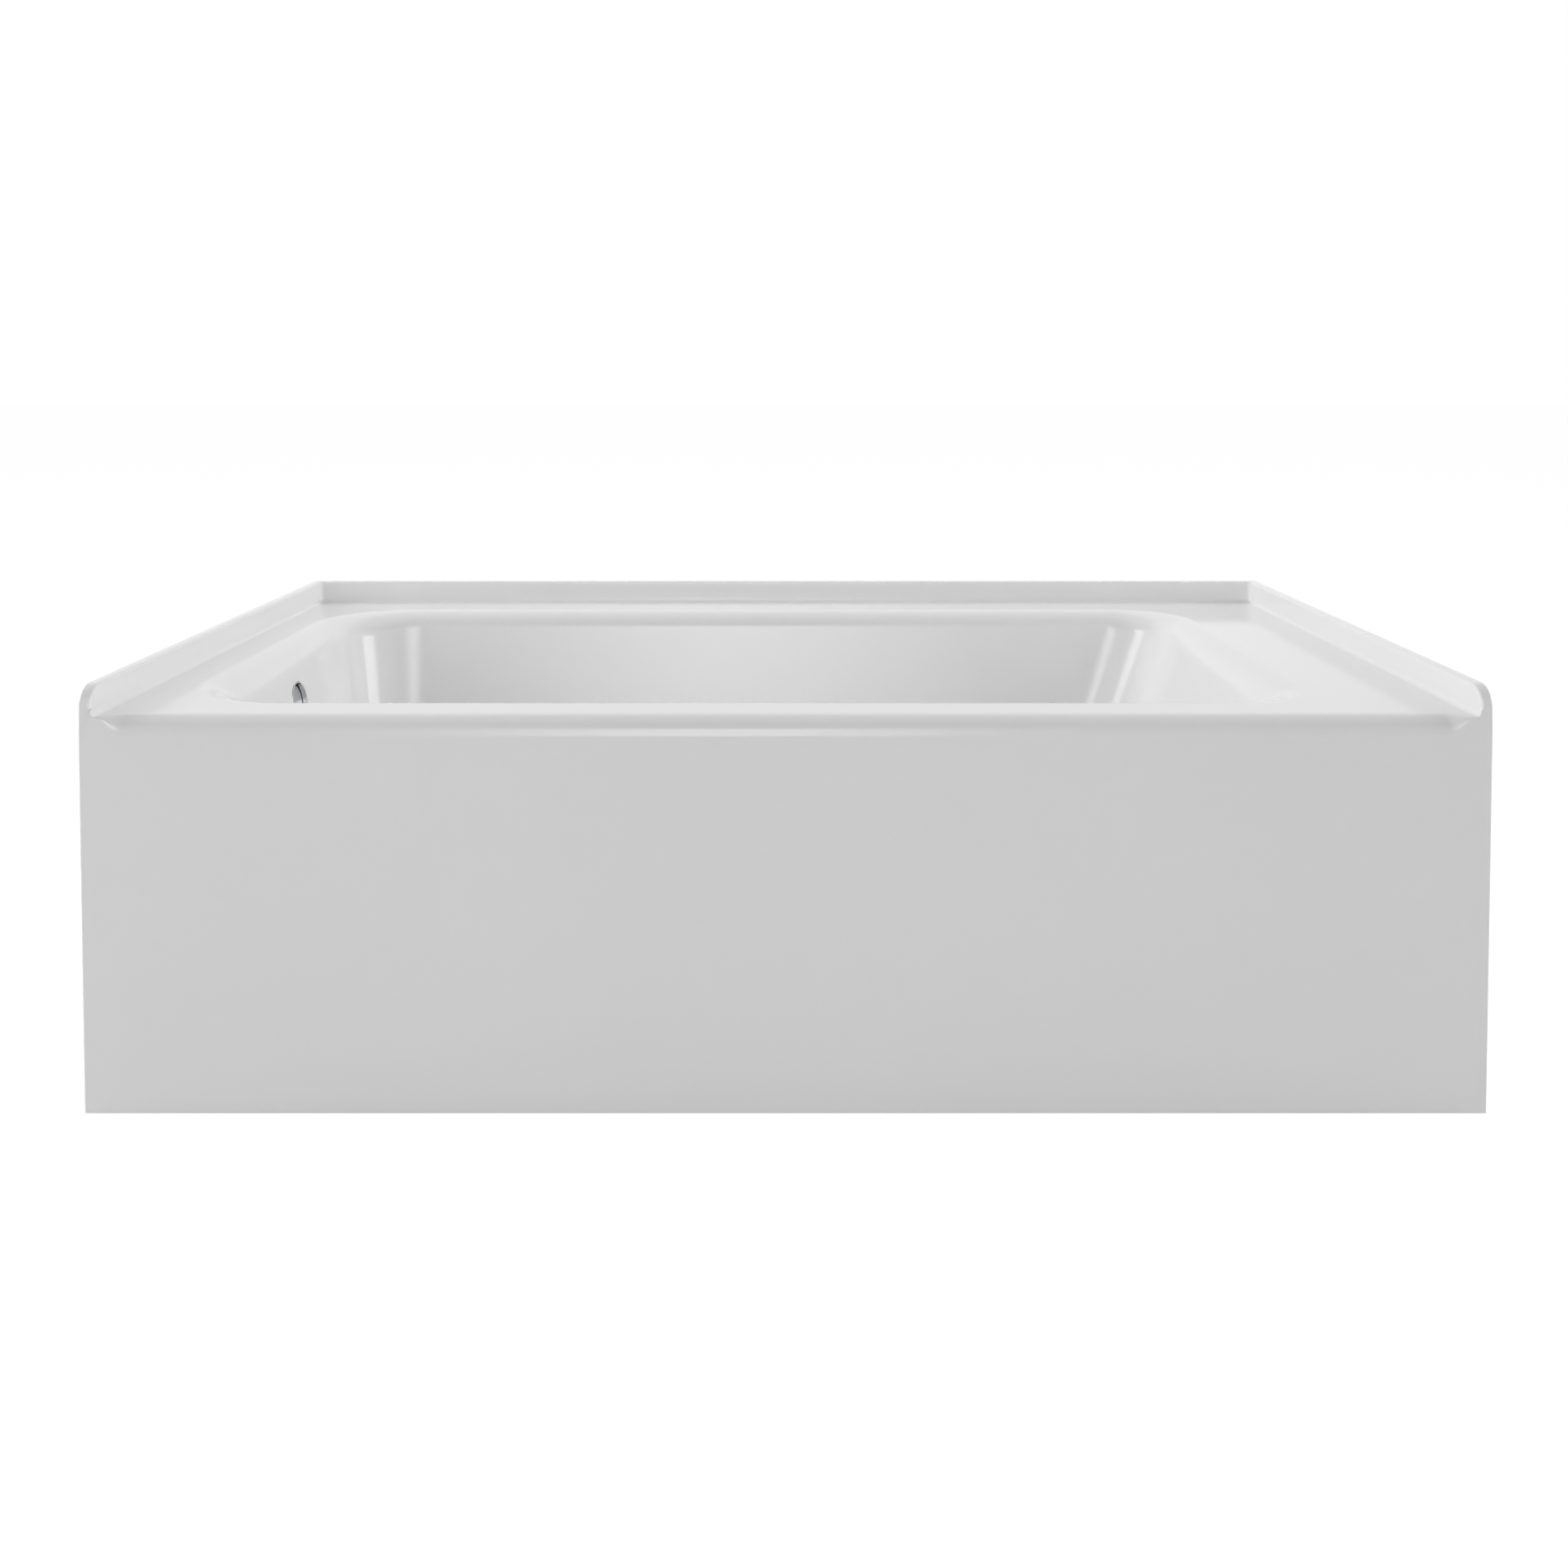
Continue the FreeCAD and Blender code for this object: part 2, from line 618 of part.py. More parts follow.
def overflow_elbow():
    """Elbow behind the end wall: flanged cup on the ring's barrel and a socket down to the pipe."""
    bore = OVERFLOW_BARREL_RADIUS + TUBE_FIT
    face = -BACKED - GASKET
    flange = disc(GASKET_RADIUS, face - ELBOW_FLANGE, face)
    cup = disc(bore + FITTING_WALL, -elbow_back() - FITTING_WALL, face)
    hollow = disc(bore, -elbow_back(), face + 1)
    x, y = riser_x(), drain_y()
    foot = elbow_foot()
    shoulder = foot + SOCKET_DEPTH
    neck_top = OVERFLOW_HEIGHT - ELBOW_SHOULDER
    neck = disc(TUBE_RADIUS + TUBE_FIT + FITTING_WALL, foot, neck_top, x, y)
    passage = disc(TUBE_RADIUS - TUBE_WALL, foot - 1, neck_top - FITTING_WALL, x, y)
    socket = disc(TUBE_RADIUS + TUBE_FIT, foot - 1, shoulder, x, y)
    body = at_overflow(flange.fuse(cup)).fuse(neck)
    return body.cut(at_overflow(hollow)).cut(passage).cut(socket)


# ---- Waste ----

def tee_shoulder():
    """Where the overflow pipe stops in the tee."""
    return TEE_HEIGHT - SOCKET_DEPTH


def overflow_pipe():
    """Pipe from the elbow down to the tee."""
    return ring(TUBE_RADIUS, TUBE_RADIUS - TUBE_WALL, tee_shoulder(), elbow_foot() + SOCKET_DEPTH,
                riser_x(), drain_y())


def waste_tee():
    """Tee with sockets for the overflow pipe, the shoe pipe and the outlet below."""
    x, y = riser_x(), drain_y()
    outer = TUBE_RADIUS + TUBE_FIT + FITTING_WALL
    socket = TUBE_RADIUS + TUBE_FIT
    bore = TUBE_RADIUS - TUBE_WALL
    body = disc(outer, OUTLET_GAP, TEE_HEIGHT, x, y).fuse(rod(outer, x, x + TEE_REACH, WASTE_AXIS_HEIGHT))
    cuts = [
        disc(socket, OUTLET_GAP - 1, OUTLET_GAP + SOCKET_DEPTH, x, y),
        disc(bore, OUTLET_GAP, TEE_HEIGHT, x, y),
        disc(socket, tee_shoulder(), TEE_HEIGHT + 1, x, y),
        rod(bore, x, x + TEE_REACH, WASTE_AXIS_HEIGHT),
        rod(socket, x + TEE_REACH - SOCKET_DEPTH, x + TEE_REACH + 1, WASTE_AXIS_HEIGHT),
    ]
    for cut in cuts:
        body = body.cut(cut)
    return body


def shoe_pipe():
    """Level pipe from the tee to the drain shoe."""
    start = riser_x() + TEE_REACH - SOCKET_DEPTH
    end = drain_x() - SHOE_REACH + SOCKET_DEPTH
    outer = rod(TUBE_RADIUS, start, end, WASTE_AXIS_HEIGHT)
    return outer.cut(rod(TUBE_RADIUS - TUBE_WALL, start - 1, end + 1, WASTE_AXIS_HEIGHT))


def dish_back():
    """Underside of the backed dish round the drain."""
    return FLOOR_HEIGHT - DISH_DEPTH - BACKED


def drain_gasket():
    """Rubber ring between the backing and the drain shoe."""
    bore = STRAINER_BARREL_RADIUS + HOLE_CLEARANCE
    return ring(STRAINER_RADIUS, bore, dish_back() - GASKET, dish_back(), drain_x(), drain_y())


def drain_shoe():
    """Elbow under the drain, with a flange for the gasket and a socket for the shoe pipe."""
    x, y = drain_x(), drain_y()
    top = dish_back() - GASKET
    barrel = STRAINER_BARREL_RADIUS + TUBE_FIT
    bore = TUBE_RADIUS - TUBE_WALL
    outer = TUBE_RADIUS + TUBE_FIT + FITTING_WALL
    low = WASTE_AXIS_HEIGHT - outer
    body = disc(STRAINER_RADIUS, top - SHOE_FLANGE, top, x, y)
    body = body.fuse(disc(barrel + FITTING_WALL, low, top, x, y))
    body = body.fuse(rod(outer, x - SHOE_REACH, x, WASTE_AXIS_HEIGHT))
    cuts = [
        disc(barrel, barrel_foot(), top + 1, x, y),
        disc(STRAINER_BORE_RADIUS, low + FITTING_WALL, top, x, y),
        rod(bore, x - SHOE_REACH, x, WASTE_AXIS_HEIGHT),
        rod(TUBE_RADIUS + TUBE_FIT, x - SHOE_REACH - 1, x - SHOE_REACH + SOCKET_DEPTH, WASTE_AXIS_HEIGHT),
    ]
    for cut in cuts:
        body = body.cut(cut)
    return body


def slip_nut():
    """Octagonal slip nut about Z; its mouth is at z = 0 and its lip closes on the pipe."""
    nut = prism(8, SLIP_NUT_FLATS, 0, SLIP_NUT)
    socket = TUBE_RADIUS + TUBE_FIT + FITTING_WALL + SLIP_NUT_FIT
    mouth = disc(socket, -1, SLIP_NUT - SLIP_NUT_LIP)
    return nut.cut(mouth).cut(disc(TUBE_RADIUS + SLIP_NUT_FIT, -1, SLIP_NUT + 1))


def slip_washer():
    """Washer about Z, seated under the slip nut's lip."""
    top = SLIP_NUT - SLIP_NUT_LIP
    return ring(TUBE_RADIUS + TUBE_FIT + FITTING_WALL, TUBE_RADIUS + TUBE_FIT, top - SLIP_WASHER, top)


def at_joints(shape):
    """Copies of a shape made about Z, one at the mouth of each socket that holds a pipe."""
    cover = SLIP_NUT - SLIP_NUT_LIP - SLIP_WASHER
    places = [
        (0, Vector(riser_x(), drain_y(), TEE_HEIGHT - cover)),
        (180, Vector(riser_x(), drain_y(), elbow_foot() + cover)),
        (90, Vector(riser_x() + TEE_REACH - cover, drain_y(), WASTE_AXIS_HEIGHT)),
        (-90, Vector(drain_x() - SHOE_REACH + cover, drain_y(), WASTE_AXIS_HEIGHT)),
    ]
    copies = []
    for turn, place in places:
        copy = shape.copy()
        copy.rotate(Vector(0, 0, 0), Vector(0, 1, 0), turn)
        copy.translate(place)
        copies.append(copy)
    return group(copies)


# ---- Drain and stopper ----

def flange_top():
    """Top of the drain's flange, level with the basin floor round the dish."""
    return FLOOR_HEIGHT - DISH_DEPTH + STRAINER_FLANGE


def barrel_foot():
    """Lower end of the drain's barrel."""
    return FLOOR_HEIGHT - DISH_DEPTH - STRAINER_DEPTH


def hub_foot():
    """Underside of the spider's hub."""
    return barrel_foot() + SPIDER


def drain_strainer():
    """Drain body: flange in the dish, barrel through the floor, and a spider that guides the stem."""
    seat = FLOOR_HEIGHT - DISH_DEPTH
    body = revolved([
        (STRAINER_BORE_RADIUS, barrel_foot()), (STRAINER_BARREL_RADIUS, barrel_foot()),
        (STRAINER_BARREL_RADIUS, seat), (STRAINER_RADIUS, seat),
        (STRAINER_RADIUS, flange_top() - STRAINER_EDGE), (STRAINER_RADIUS - STRAINER_EDGE, flange_top()),
        (SEAT_RADIUS, flange_top()), (STRAINER_BORE_RADIUS, flange_top() - SEAT_DEPTH)])
    arms = disc(HUB_RADIUS, hub_foot(), hub_foot() + HUB_HEIGHT)
    arm = box(0, STRAINER_BORE_RADIUS + 1, -SPIDER / 2, SPIDER / 2, hub_foot(), hub_foot() + SPIDER)
    for index in range(SPIDER_ARMS):
        turned = arm.copy()
        turned.rotate(Vector(0, 0, 0), Vector(0, 0, 1), 45 + index * 360 / SPIDER_ARMS)
        arms = arms.fuse(turned)
    body = body.fuse(arms).cut(disc(STEM_RADIUS + STEM_FIT, BELOW, ABOVE))
    body.translate(Vector(drain_x(), drain_y(), 0))
    return body


def stopper_cap():
    """Crowned cap that closes on the drain's flange."""
    base = flange_top() + SEAL_HEIGHT
    crown = revolved([
        (0, base), (STOPPER_RADIUS, base), (STOPPER_RADIUS, base + STOPPER_EDGE),
        (STOPPER_SHOULDER_RADIUS, base + STOPPER_SHOULDER), (STOPPER_CROWN_RADIUS, base + STOPPER_HEIGHT),
        (0, base + STOPPER_HEIGHT)])
    crown.translate(Vector(drain_x(), drain_y(), 0))
    return crown


def stopper_seal():
    """Rubber ring under the cap."""
    return ring(SEAL_RADIUS, SEAL_BORE_RADIUS, flange_top(), flange_top() + SEAL_HEIGHT, drain_x(), drain_y())


def stopper_stem():
    """Stem through the hub; its collar stops the lift."""
    x, y = drain_x(), drain_y()
    collar_top = hub_foot() - STOPPER_LIFT
    stem = disc(STEM_RADIUS, collar_top - STEM_COLLAR, flange_top() + SEAL_HEIGHT, x, y)
    return stem.fuse(disc(STEM_COLLAR_RADIUS, collar_top - STEM_COLLAR, collar_top, x, y))


def sub_parts():
    """Every sub-part by name."""
    parts = {
        "tub_shell": tub_shell(),
        "fibreglass_backing": fibreglass_backing(),
        "base_board": base_board(),
        "left_channel": channel("left"),
        "right_channel": channel("right"),
        "channel_screws": channel_screws(),
        "weld_nuts": weld_nuts(),
        "lock_nuts": lock_nuts(),
        "apron_batten": apron_batten(),
        "apron_stiffeners": apron_stiffeners(),
        "overflow_ring": overflow_ring(),
        "overflow_plate": overflow_plate(),
        "overflow_gasket": overflow_gasket(),
        "overflow_elbow": overflow_elbow(),
        "overflow_pipe": overflow_pipe(),
        "waste_tee": waste_tee(),
        "shoe_pipe": shoe_pipe(),
        "slip_nuts": at_joints(slip_nut()),
        "slip_washers": at_joints(slip_washer()),
        "drain_gasket": drain_gasket(),
        "drain_shoe": drain_shoe(),
        "drain_strainer": drain_strainer(),
        "stopper_cap": stopper_cap(),
        "stopper_seal": stopper_seal(),
        "stopper_stem": stopper_stem(),
    }
    for side in ("front", "back"):
        for end in ("left", "right"):
            parts["pad_" + side + "_" + end] = foot_pad(end, side)
            parts["stud_" + side + "_" + end] = foot_stud(end, side)
    return parts


def main():
    """Build and write every sub-part."""
    os.makedirs("parts", exist_ok=True)
    for name, shape in sub_parts().items():
        state = "valid" if shape.isValid() else "NOT VALID"
        print(name, len(shape.Solids), "solids", round(shape.Volume / 1000, 1), "cm3", state)
        shape.exportStep("parts/" + name + ".step")


main()
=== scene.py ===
"""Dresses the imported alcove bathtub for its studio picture.

The tub is one formed sheet of white acrylic: a plain apron, a deck with a soft roll all round
the basin, and a raised tile flange on the three sides that meet the alcove's walls. Sizes are in
metres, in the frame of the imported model: X runs along the tub with the drain end at -X, Y runs
from the apron (-Y) to the wall (+Y), and Z is up from the floor.
"""
from __future__ import annotations

import json
import logging
import math
from dataclasses import dataclass, field
from enum import Enum
from typing import Callable, Sequence

import bmesh
import bpy
from mathutils import Matrix, Vector


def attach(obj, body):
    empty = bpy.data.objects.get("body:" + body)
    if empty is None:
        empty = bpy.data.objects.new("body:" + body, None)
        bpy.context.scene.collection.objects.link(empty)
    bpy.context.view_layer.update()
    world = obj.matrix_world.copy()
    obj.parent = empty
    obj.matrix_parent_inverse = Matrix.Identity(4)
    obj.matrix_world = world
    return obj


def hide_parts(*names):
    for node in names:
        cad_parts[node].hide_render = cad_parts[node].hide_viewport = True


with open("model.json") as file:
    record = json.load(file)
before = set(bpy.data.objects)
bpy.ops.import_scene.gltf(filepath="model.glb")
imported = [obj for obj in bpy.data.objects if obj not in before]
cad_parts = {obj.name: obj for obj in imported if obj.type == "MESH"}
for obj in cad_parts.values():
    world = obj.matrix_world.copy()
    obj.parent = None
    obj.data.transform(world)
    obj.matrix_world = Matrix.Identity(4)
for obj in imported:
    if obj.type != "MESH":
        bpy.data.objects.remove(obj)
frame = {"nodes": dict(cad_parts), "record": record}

log = logging.getLogger("bathtub")

Pair = tuple[float, float]
Point = tuple[float, float, float]
EdgeTest = Callable[[Vector, Vector], bool]

# Distance within which two places count as the same.
NEAR = 1e-4
# Distance below which two corners are merged.
WELD = 1e-6
# How far a cutting piece reaches past what it cuts.
CLEAR = 0.03
# Flats round a cylinder.
DRUM_SIDES = 96
# Angle, in degrees, from which an edge of the sheet stays a crease.
CREASE = 24.0
# The values between which most of a noise pattern lies.
MIDDLE = (0.3, 0.7)


# -----------------------------------------------------------------------------
# Modelling by hand, in code
# -----------------------------------------------------------------------------

class Cut(Enum):
    """What a boolean does to the piece it is given to."""

    REMOVE = "DIFFERENCE"
    JOIN = "UNION"


def deselect() -> None:
    """Leave nothing selected, so that the next operator acts on one piece only."""
    if bpy.context.object and bpy.context.object.mode != "OBJECT":
        bpy.ops.object.mode_set(mode="OBJECT")
    bpy.ops.object.select_all(action="DESELECT")


def pick(piece: bpy.types.Object) -> None:
    """Select one piece and make it active."""
    deselect()
    piece.select_set(True)
    bpy.context.view_layer.objects.active = piece


def open_whole(piece: bpy.types.Object) -> None:
    """Enter edit mode with the whole of a piece selected."""
    pick(piece)
    bpy.ops.object.mode_set(mode="EDIT")
    bpy.ops.mesh.select_all(action="SELECT")


def settle(name: str) -> bpy.types.Object:
    """Name the primitive just added and put its place in its mesh.

    Args:
        name: the piece's name.

    Returns:
        The piece, at the origin, unturned and unscaled.
    """
    piece = bpy.context.object
    piece.name = name
    piece.data.name = name
    bpy.ops.object.transform_apply(location=True, rotation=True, scale=True)
    return piece


def block(name: str, low: Point, high: Point) -> bpy.types.Object:
    """Add a block between two corners.

    Args:
        name: the piece's name.
        low: its lowest corner.
        high: its highest corner.

    Returns:
        The block.
    """
    deselect()
    middle = [(a + b) / 2 for a, b in zip(low, high)]
    span = [b - a for a, b in zip(low, high)]
    bpy.ops.mesh.primitive_cube_add(size=1, location=middle, scale=span)
    return settle(name)


def drum(name: str, radius: float, low: float, high: float) -> bpy.types.Object:
    """Add an upright cylinder on the Z axis.

    Args:
        name: the piece's name.
        radius: its radius.
        low: height of its foot.
        high: height of its top.

    Returns:
        The cylinder.
    """
    deselect()
    bpy.ops.mesh.primitive_cylinder_add(
        vertices=DRUM_SIDES, radius=radius, depth=high - low, location=(0, 0, (low + high) / 2))
    return settle(name)


def open_bare(piece: bpy.types.Object, kind: str) -> bmesh.types.BMesh:
    """Enter edit mode with nothing of a piece selected.

    Args:
        piece: the object to work on.
        kind: what is going to be selected, EDGE or FACE.

    Returns:
        Its mesh.
    """
    pick(piece)
    bpy.ops.object.mode_set(mode="EDIT")
    bpy.ops.mesh.select_mode(type=kind)
    bpy.ops.mesh.select_all(action="DESELECT")
    return bmesh.from_edit_mesh(piece.data)


def bevel_edges(piece: bpy.types.Object, radius: float, steps: int, test: EdgeTest) -> None:
    """Round the edges that pass a test.

    Args:
        piece: the piece to edit.
        radius: radius of the rounding.
        steps: how many flats make it up.
        test: takes the places of an edge's ends and says whether to round it.
    """
    mesh = open_bare(piece, "EDGE")
    chosen = 0
    for edge in mesh.edges:
        if test(edge.verts[0].co, edge.verts[1].co):
            edge.select_set(True)
            chosen += 1
    bmesh.update_edit_mesh(piece.data)
    if not chosen:
        log.warning("%s: no edge to round", piece.name)
    bpy.ops.mesh.bevel(offset=radius, offset_type="OFFSET", segments=steps, profile=0.5,
                       affect="EDGES", clamp_overlap=False, loop_slide=True)
    bpy.ops.mesh.select_all(action="SELECT")
    bpy.ops.mesh.remove_doubles(threshold=WELD)
    bpy.ops.object.mode_set(mode="OBJECT")


def bisect(piece: bpy.types.Object, point: Point, normal: Point) -> None:
    """Cut a loop round a piece with a plane and keep both sides.

    Args:
        piece: the piece to edit.
        point: a place on the plane.
        normal: the plane's direction.
    """
    open_whole(piece)
    bpy.ops.mesh.bisect(plane_co=point, plane_no=normal)
    bpy.ops.object.mode_set(mode="OBJECT")


def combine(piece: bpy.types.Object, tool: bpy.types.Object, cut: Cut) -> None:
    """Apply one piece to another as a boolean and delete the tool.

    Args:
        piece: the piece that is changed.
        tool: the piece that shapes it.
        cut: whether the tool is removed from the piece or joined to it.
    """
    pick(piece)
    step = piece.modifiers.new("cut", "BOOLEAN")
    step.operation = cut.value
    step.solver = "EXACT"
    step.object = tool
    bpy.ops.object.modifier_apply(modifier=step.name)
    bpy.data.objects.remove(tool, do_unlink=True)


def smooth(piece: bpy.types.Object) -> None:
    """Shade a piece smooth with its creases kept, the flats taking the lead over the roundings.

    Args:
        piece: the piece to shade.
    """
    pick(piece)
    bpy.ops.object.shade_smooth_by_angle(angle=math.radians(CREASE))
    step = piece.modifiers.new("normals", "WEIGHTED_NORMAL")
    step.mode = "FACE_AREA"
    step.keep_sharp = True
    bpy.ops.object.modifier_apply(modifier=step.name)


def loft(name: str, rings: Sequence[Sequence[Point]]) -> bpy.types.Object:
    """Skin a row of closed rings that have the same number of points, and cap both ends.

    The faces look outward where the rings run from the top down, each counterclockwise seen from
    above.

    Args:
        name: the piece's name.
        rings: the rings in order.

    Returns:
        The closed solid.
    """
    count = len(rings[0])
    points = [point for ring in rings for point in ring]
    faces = []
    for level in range(len(rings) - 1):
        upper = level * count
        lower = upper + count
        for i in range(count):
            j = (i + 1) % count
            faces.append((upper + i, lower + i, lower + j, upper + j))
    faces.append(tuple(range(count)))
    last = (len(rings) - 1) * count
    faces.append(tuple(last + i for i in reversed(range(count))))
    mesh = bpy.data.meshes.new(name)
    mesh.from_pydata(points, [], faces)
    piece = bpy.data.objects.new(name, mesh)
    bpy.context.collection.objects.link(piece)
    return piece


def place(piece: bpy.types.Object, matrix: Matrix) -> None:
    """Move a piece's mesh and leave the object at the origin."""
    piece.data.transform(matrix)
    piece.data.update()


# -----------------------------------------------------------------------------
# Sizes of the formed sheet
# -----------------------------------------------------------------------------

class Side(Enum):
    """The four walls of the basin."""

    LEFT = "left"
    RIGHT = "right"
    FRONT = "front"
    BACK = "back"


@dataclass(frozen=True)
class Wall:
    """One wall of the basin, from the deck's rim down to the floor.

    Attributes:
        inset: distance of the rim line from the tub's outer face.
        roll: radius of the roll from the deck into the wall.
        slope: lean of the wall from the upright, in degrees.
    """

    inset: float
    roll: float
    slope: float


@dataclass(frozen=True)
class TubForm:
    """Driving sizes of the tub and the outlines that follow from them.

    Attributes:
        length: size along X.
        depth: size along Y.
        height: from the floor to the tile flange's top.
        flange: rise of the tile flange above the deck.
        flange_thickness: its width seen from above.
        flange_edge: rounding of its inner top edge.
        flange_nose: rounding where it turns down at the front.
        flange_cove: hollow rounding where it meets the deck.
        flange_corner: hollow rounding of its upright inner corners.
        front_roll: roll from the deck into the apron.
        roll_end: the same roll where it meets a flange.
        roll_fade: distance over which the roll tightens to that.
        outer_edge: rounding of the outline.
        skirt: height of the upright band below the top on the back and the ends.
        apron_return: how far the apron's ends turn back.
        apron_gap: from the floor to the apron's foot.
        draft: how far each end draws in from the skirt to the floor.
        sheet: thickness of the acrylic.
        floor: height of the basin's floor.
        floor_fillet: rounding from the walls into the floor.
        floor_corner: plan radius of the basin's corners at its floor.
        corner_left: plan radius of the rim's corners at the drain end.
        corner_right: the same at the backrest.
        dish_radius: radius of the dish round the drain.
        dish_depth: its depth.
        drain_setback: from the foot of the end wall to the drain.
        overflow_drop: from the deck down to the overflow.
        fillet_start: angle, in degrees, at which the fillet's rings begin.
        wall_spans: spans between the rings on the straight part of the walls.
        walls: the basin's four walls.
    """

    length: float = 1.524
    depth: float = 0.762
    height: float = 0.460
    flange: float = 0.033
    flange_thickness: float = 0.013
    flange_edge: float = 0.004
    flange_nose: float = 0.024
    flange_cove: float = 0.0055
    flange_corner: float = 0.006
    front_roll: float = 0.022
    roll_end: float = 0.0015
    roll_fade: float = 0.028
    outer_edge: float = 0.002
    skirt: float = 0.057
    apron_return: float = 0.030
    apron_gap: float = 0.001
    draft: float = 0.007
    sheet: float = 0.004
    floor: float = 0.080
    floor_fillet: float = 0.045
    floor_corner: float = 0.032
    corner_left: float = 0.125
    corner_right: float = 0.092
    dish_radius: float = 0.039
    dish_depth: float = 0.003
    drain_setback: float = 0.053
    overflow_drop: float = 0.069
    fillet_start: float = 6.0
    wall_spans: int = 4
    walls: dict[Side, Wall] = field(default_factory=lambda: {
        Side.LEFT: Wall(0.062, 0.042, 11.5),
        Side.RIGHT: Wall(0.152, 0.048, 24.5),
        Side.FRONT: Wall(0.062, 0.027, 14.5),
        Side.BACK: Wall(0.080, 0.032, 14.5),
    })

    @property
    def deck(self) -> float:
        """Height of the deck."""
        return self.height - self.flange

    @property
    def flange_faces(self) -> Pair:
        """From the middle to the flange's inner faces, at the ends and at the back."""
        return self.length / 2 - self.flange_thickness, self.depth / 2 - self.flange_thickness

    @property
    def skirt_foot(self) -> float:
        """Height of the skirt's lower edge on the back and the ends."""
        return self.height - self.skirt

    def inset(self, side: Side, z: float, grown: float) -> float:
        """How far a wall, grown outward, lies inside the rim line at a height.

        Args:
            side: which wall.
            z: the height.
            grown: how far the basin is grown into the sheet.

        Returns:
            The distance inward from the rim line.
        """
        wall = self.walls[side]
        slope = math.radians(wall.slope)
        roll = wall.roll - grown
        centre = self.deck - wall.roll
        top = centre + roll * math.sin(slope)
        fillet = self.floor_fillet + grown
        fillet_centre = self.floor + self.floor_fillet
        foot = fillet_centre - fillet * math.sin(slope)
        if z >= top:
            return math.sqrt(max(roll ** 2 - (z - centre) ** 2, 0.0))
        at_top = roll * math.cos(slope)
        if z >= foot:
            return at_top + math.tan(slope) * (top - z)
        at_foot = at_top + math.tan(slope) * (top - foot)
        at_floor = at_foot + fillet * math.cos(slope)
        return at_floor - math.sqrt(max(fillet ** 2 - (fillet_centre - z) ** 2, 0.0))

    def corner(self, side: Side, rim: float, z: float, grown: float) -> float:
        """Plan radius of the corners at one end, tighter towards the floor.

        Args:
            side: which end.
            rim: the radius at the rim.
            z: the height.
            grown: how far the basin is grown into the sheet.

        Returns:
            The radius at that height.
        """
        here = self.inset(side, z, grown) + self.inset(Side.FRONT, z, grown)
        whole = self.inset(side, self.floor, 0) + self.inset(Side.FRONT, self.floor, 0)
        return rim - (rim - self.floor_corner) * here / whole + grown

    def ring(self, z: float, grown: float, steps: int) -> list[Point]:
        """Plan outline of the basin at a height.

        Args:
            z: the height.
            grown: how far the basin is grown into the sheet.
            steps: points on each corner's arc, less one.

        Returns:
            Its points, counterclockwise seen from above.
        """
        reach = {side: wall.inset + self.inset(side, z, grown)
                 for side, wall in self.walls.items()}
        x0, x1 = -self.length / 2 + reach[Side.LEFT], self.length / 2 - reach[Side.RIGHT]
        y0, y1 = -self.depth / 2 + reach[Side.FRONT], self.depth / 2 - reach[Side.BACK]
        left = self.corner(Side.LEFT, self.corner_left, z, grown)
        right = self.corner(Side.RIGHT, self.corner_right, z, grown)
        corners = [
            (x1 - right, y0 + right, right, -90),
            (x1 - right, y1 - right, right, 0),
            (x0 + left, y1 - left, left, 90),
            (x0 + left, y0 + left, left, 180),
        ]
        points = []
        for x, y, radius, start in corners:
            for step in range(steps + 1):
                turn = math.radians(start + 90 * step / steps)
                points.append((x + radius * math.cos(turn), y + radius * math.sin(turn), z))
        return points

    def levels(self, grown: float, steps: int) -> list[float]:
        """Heights of the basin's rings, close together on the roll and on the floor's fillet.

        Args:
            grown: how far the basin is grown into the sheet.
            steps: rings on the roll and on the fillet.

        Returns:
            The heights from the rim down to the floor.
        """
        straight = min(
            self.deck - wall.roll + (wall.roll - grown) * math.sin(math.radians(wall.slope))
            for wall in self.walls.values())
        depth = self.deck - grown - straight
        roll = [straight + depth * math.cos(math.pi / 2 * i / steps) for i in range(steps + 1)]
        fillet = self.floor_fillet + grown
        centre = self.floor + self.floor_fillet
        start = math.radians(self.fillet_start)
        spans = self.wall_spans
        walls = [straight + (centre - straight) * i / spans for i in range(1, spans)]
        turns = [start + (math.pi / 2 - start) * i / steps for i in range(steps + 1)]
        return roll + walls + [centre - fillet * math.sin(turn) for turn in turns]

    @property
    def drain(self) -> Pair:
        """Plan place of the drain."""
        left = self.walls[Side.LEFT].inset + self.inset(Side.LEFT, self.floor, 0)
        front = self.walls[Side.FRONT].inset + self.inset(Side.FRONT, self.floor, 0)
        back = self.walls[Side.BACK].inset + self.inset(Side.BACK, self.floor, 0)
        return -self.length / 2 + left + self.drain_setback, (front - back) / 2

    @property
    def overflow(self) -> Matrix:
        """Place of the overflow on the end wall, with Z out of the wall."""
        z = self.deck - self.overflow_drop
        wall = self.walls[Side.LEFT]
        x = -self.length / 2 + wall.inset + self.inset(Side.LEFT, z, 0)
        turn = Matrix.Rotation(math.radians(90 - wall.slope), 4, "Y")
        return Matrix.Translation((x, self.drain[1], z)) @ turn


# -----------------------------------------------------------------------------
# The tub's sheet
# -----------------------------------------------------------------------------

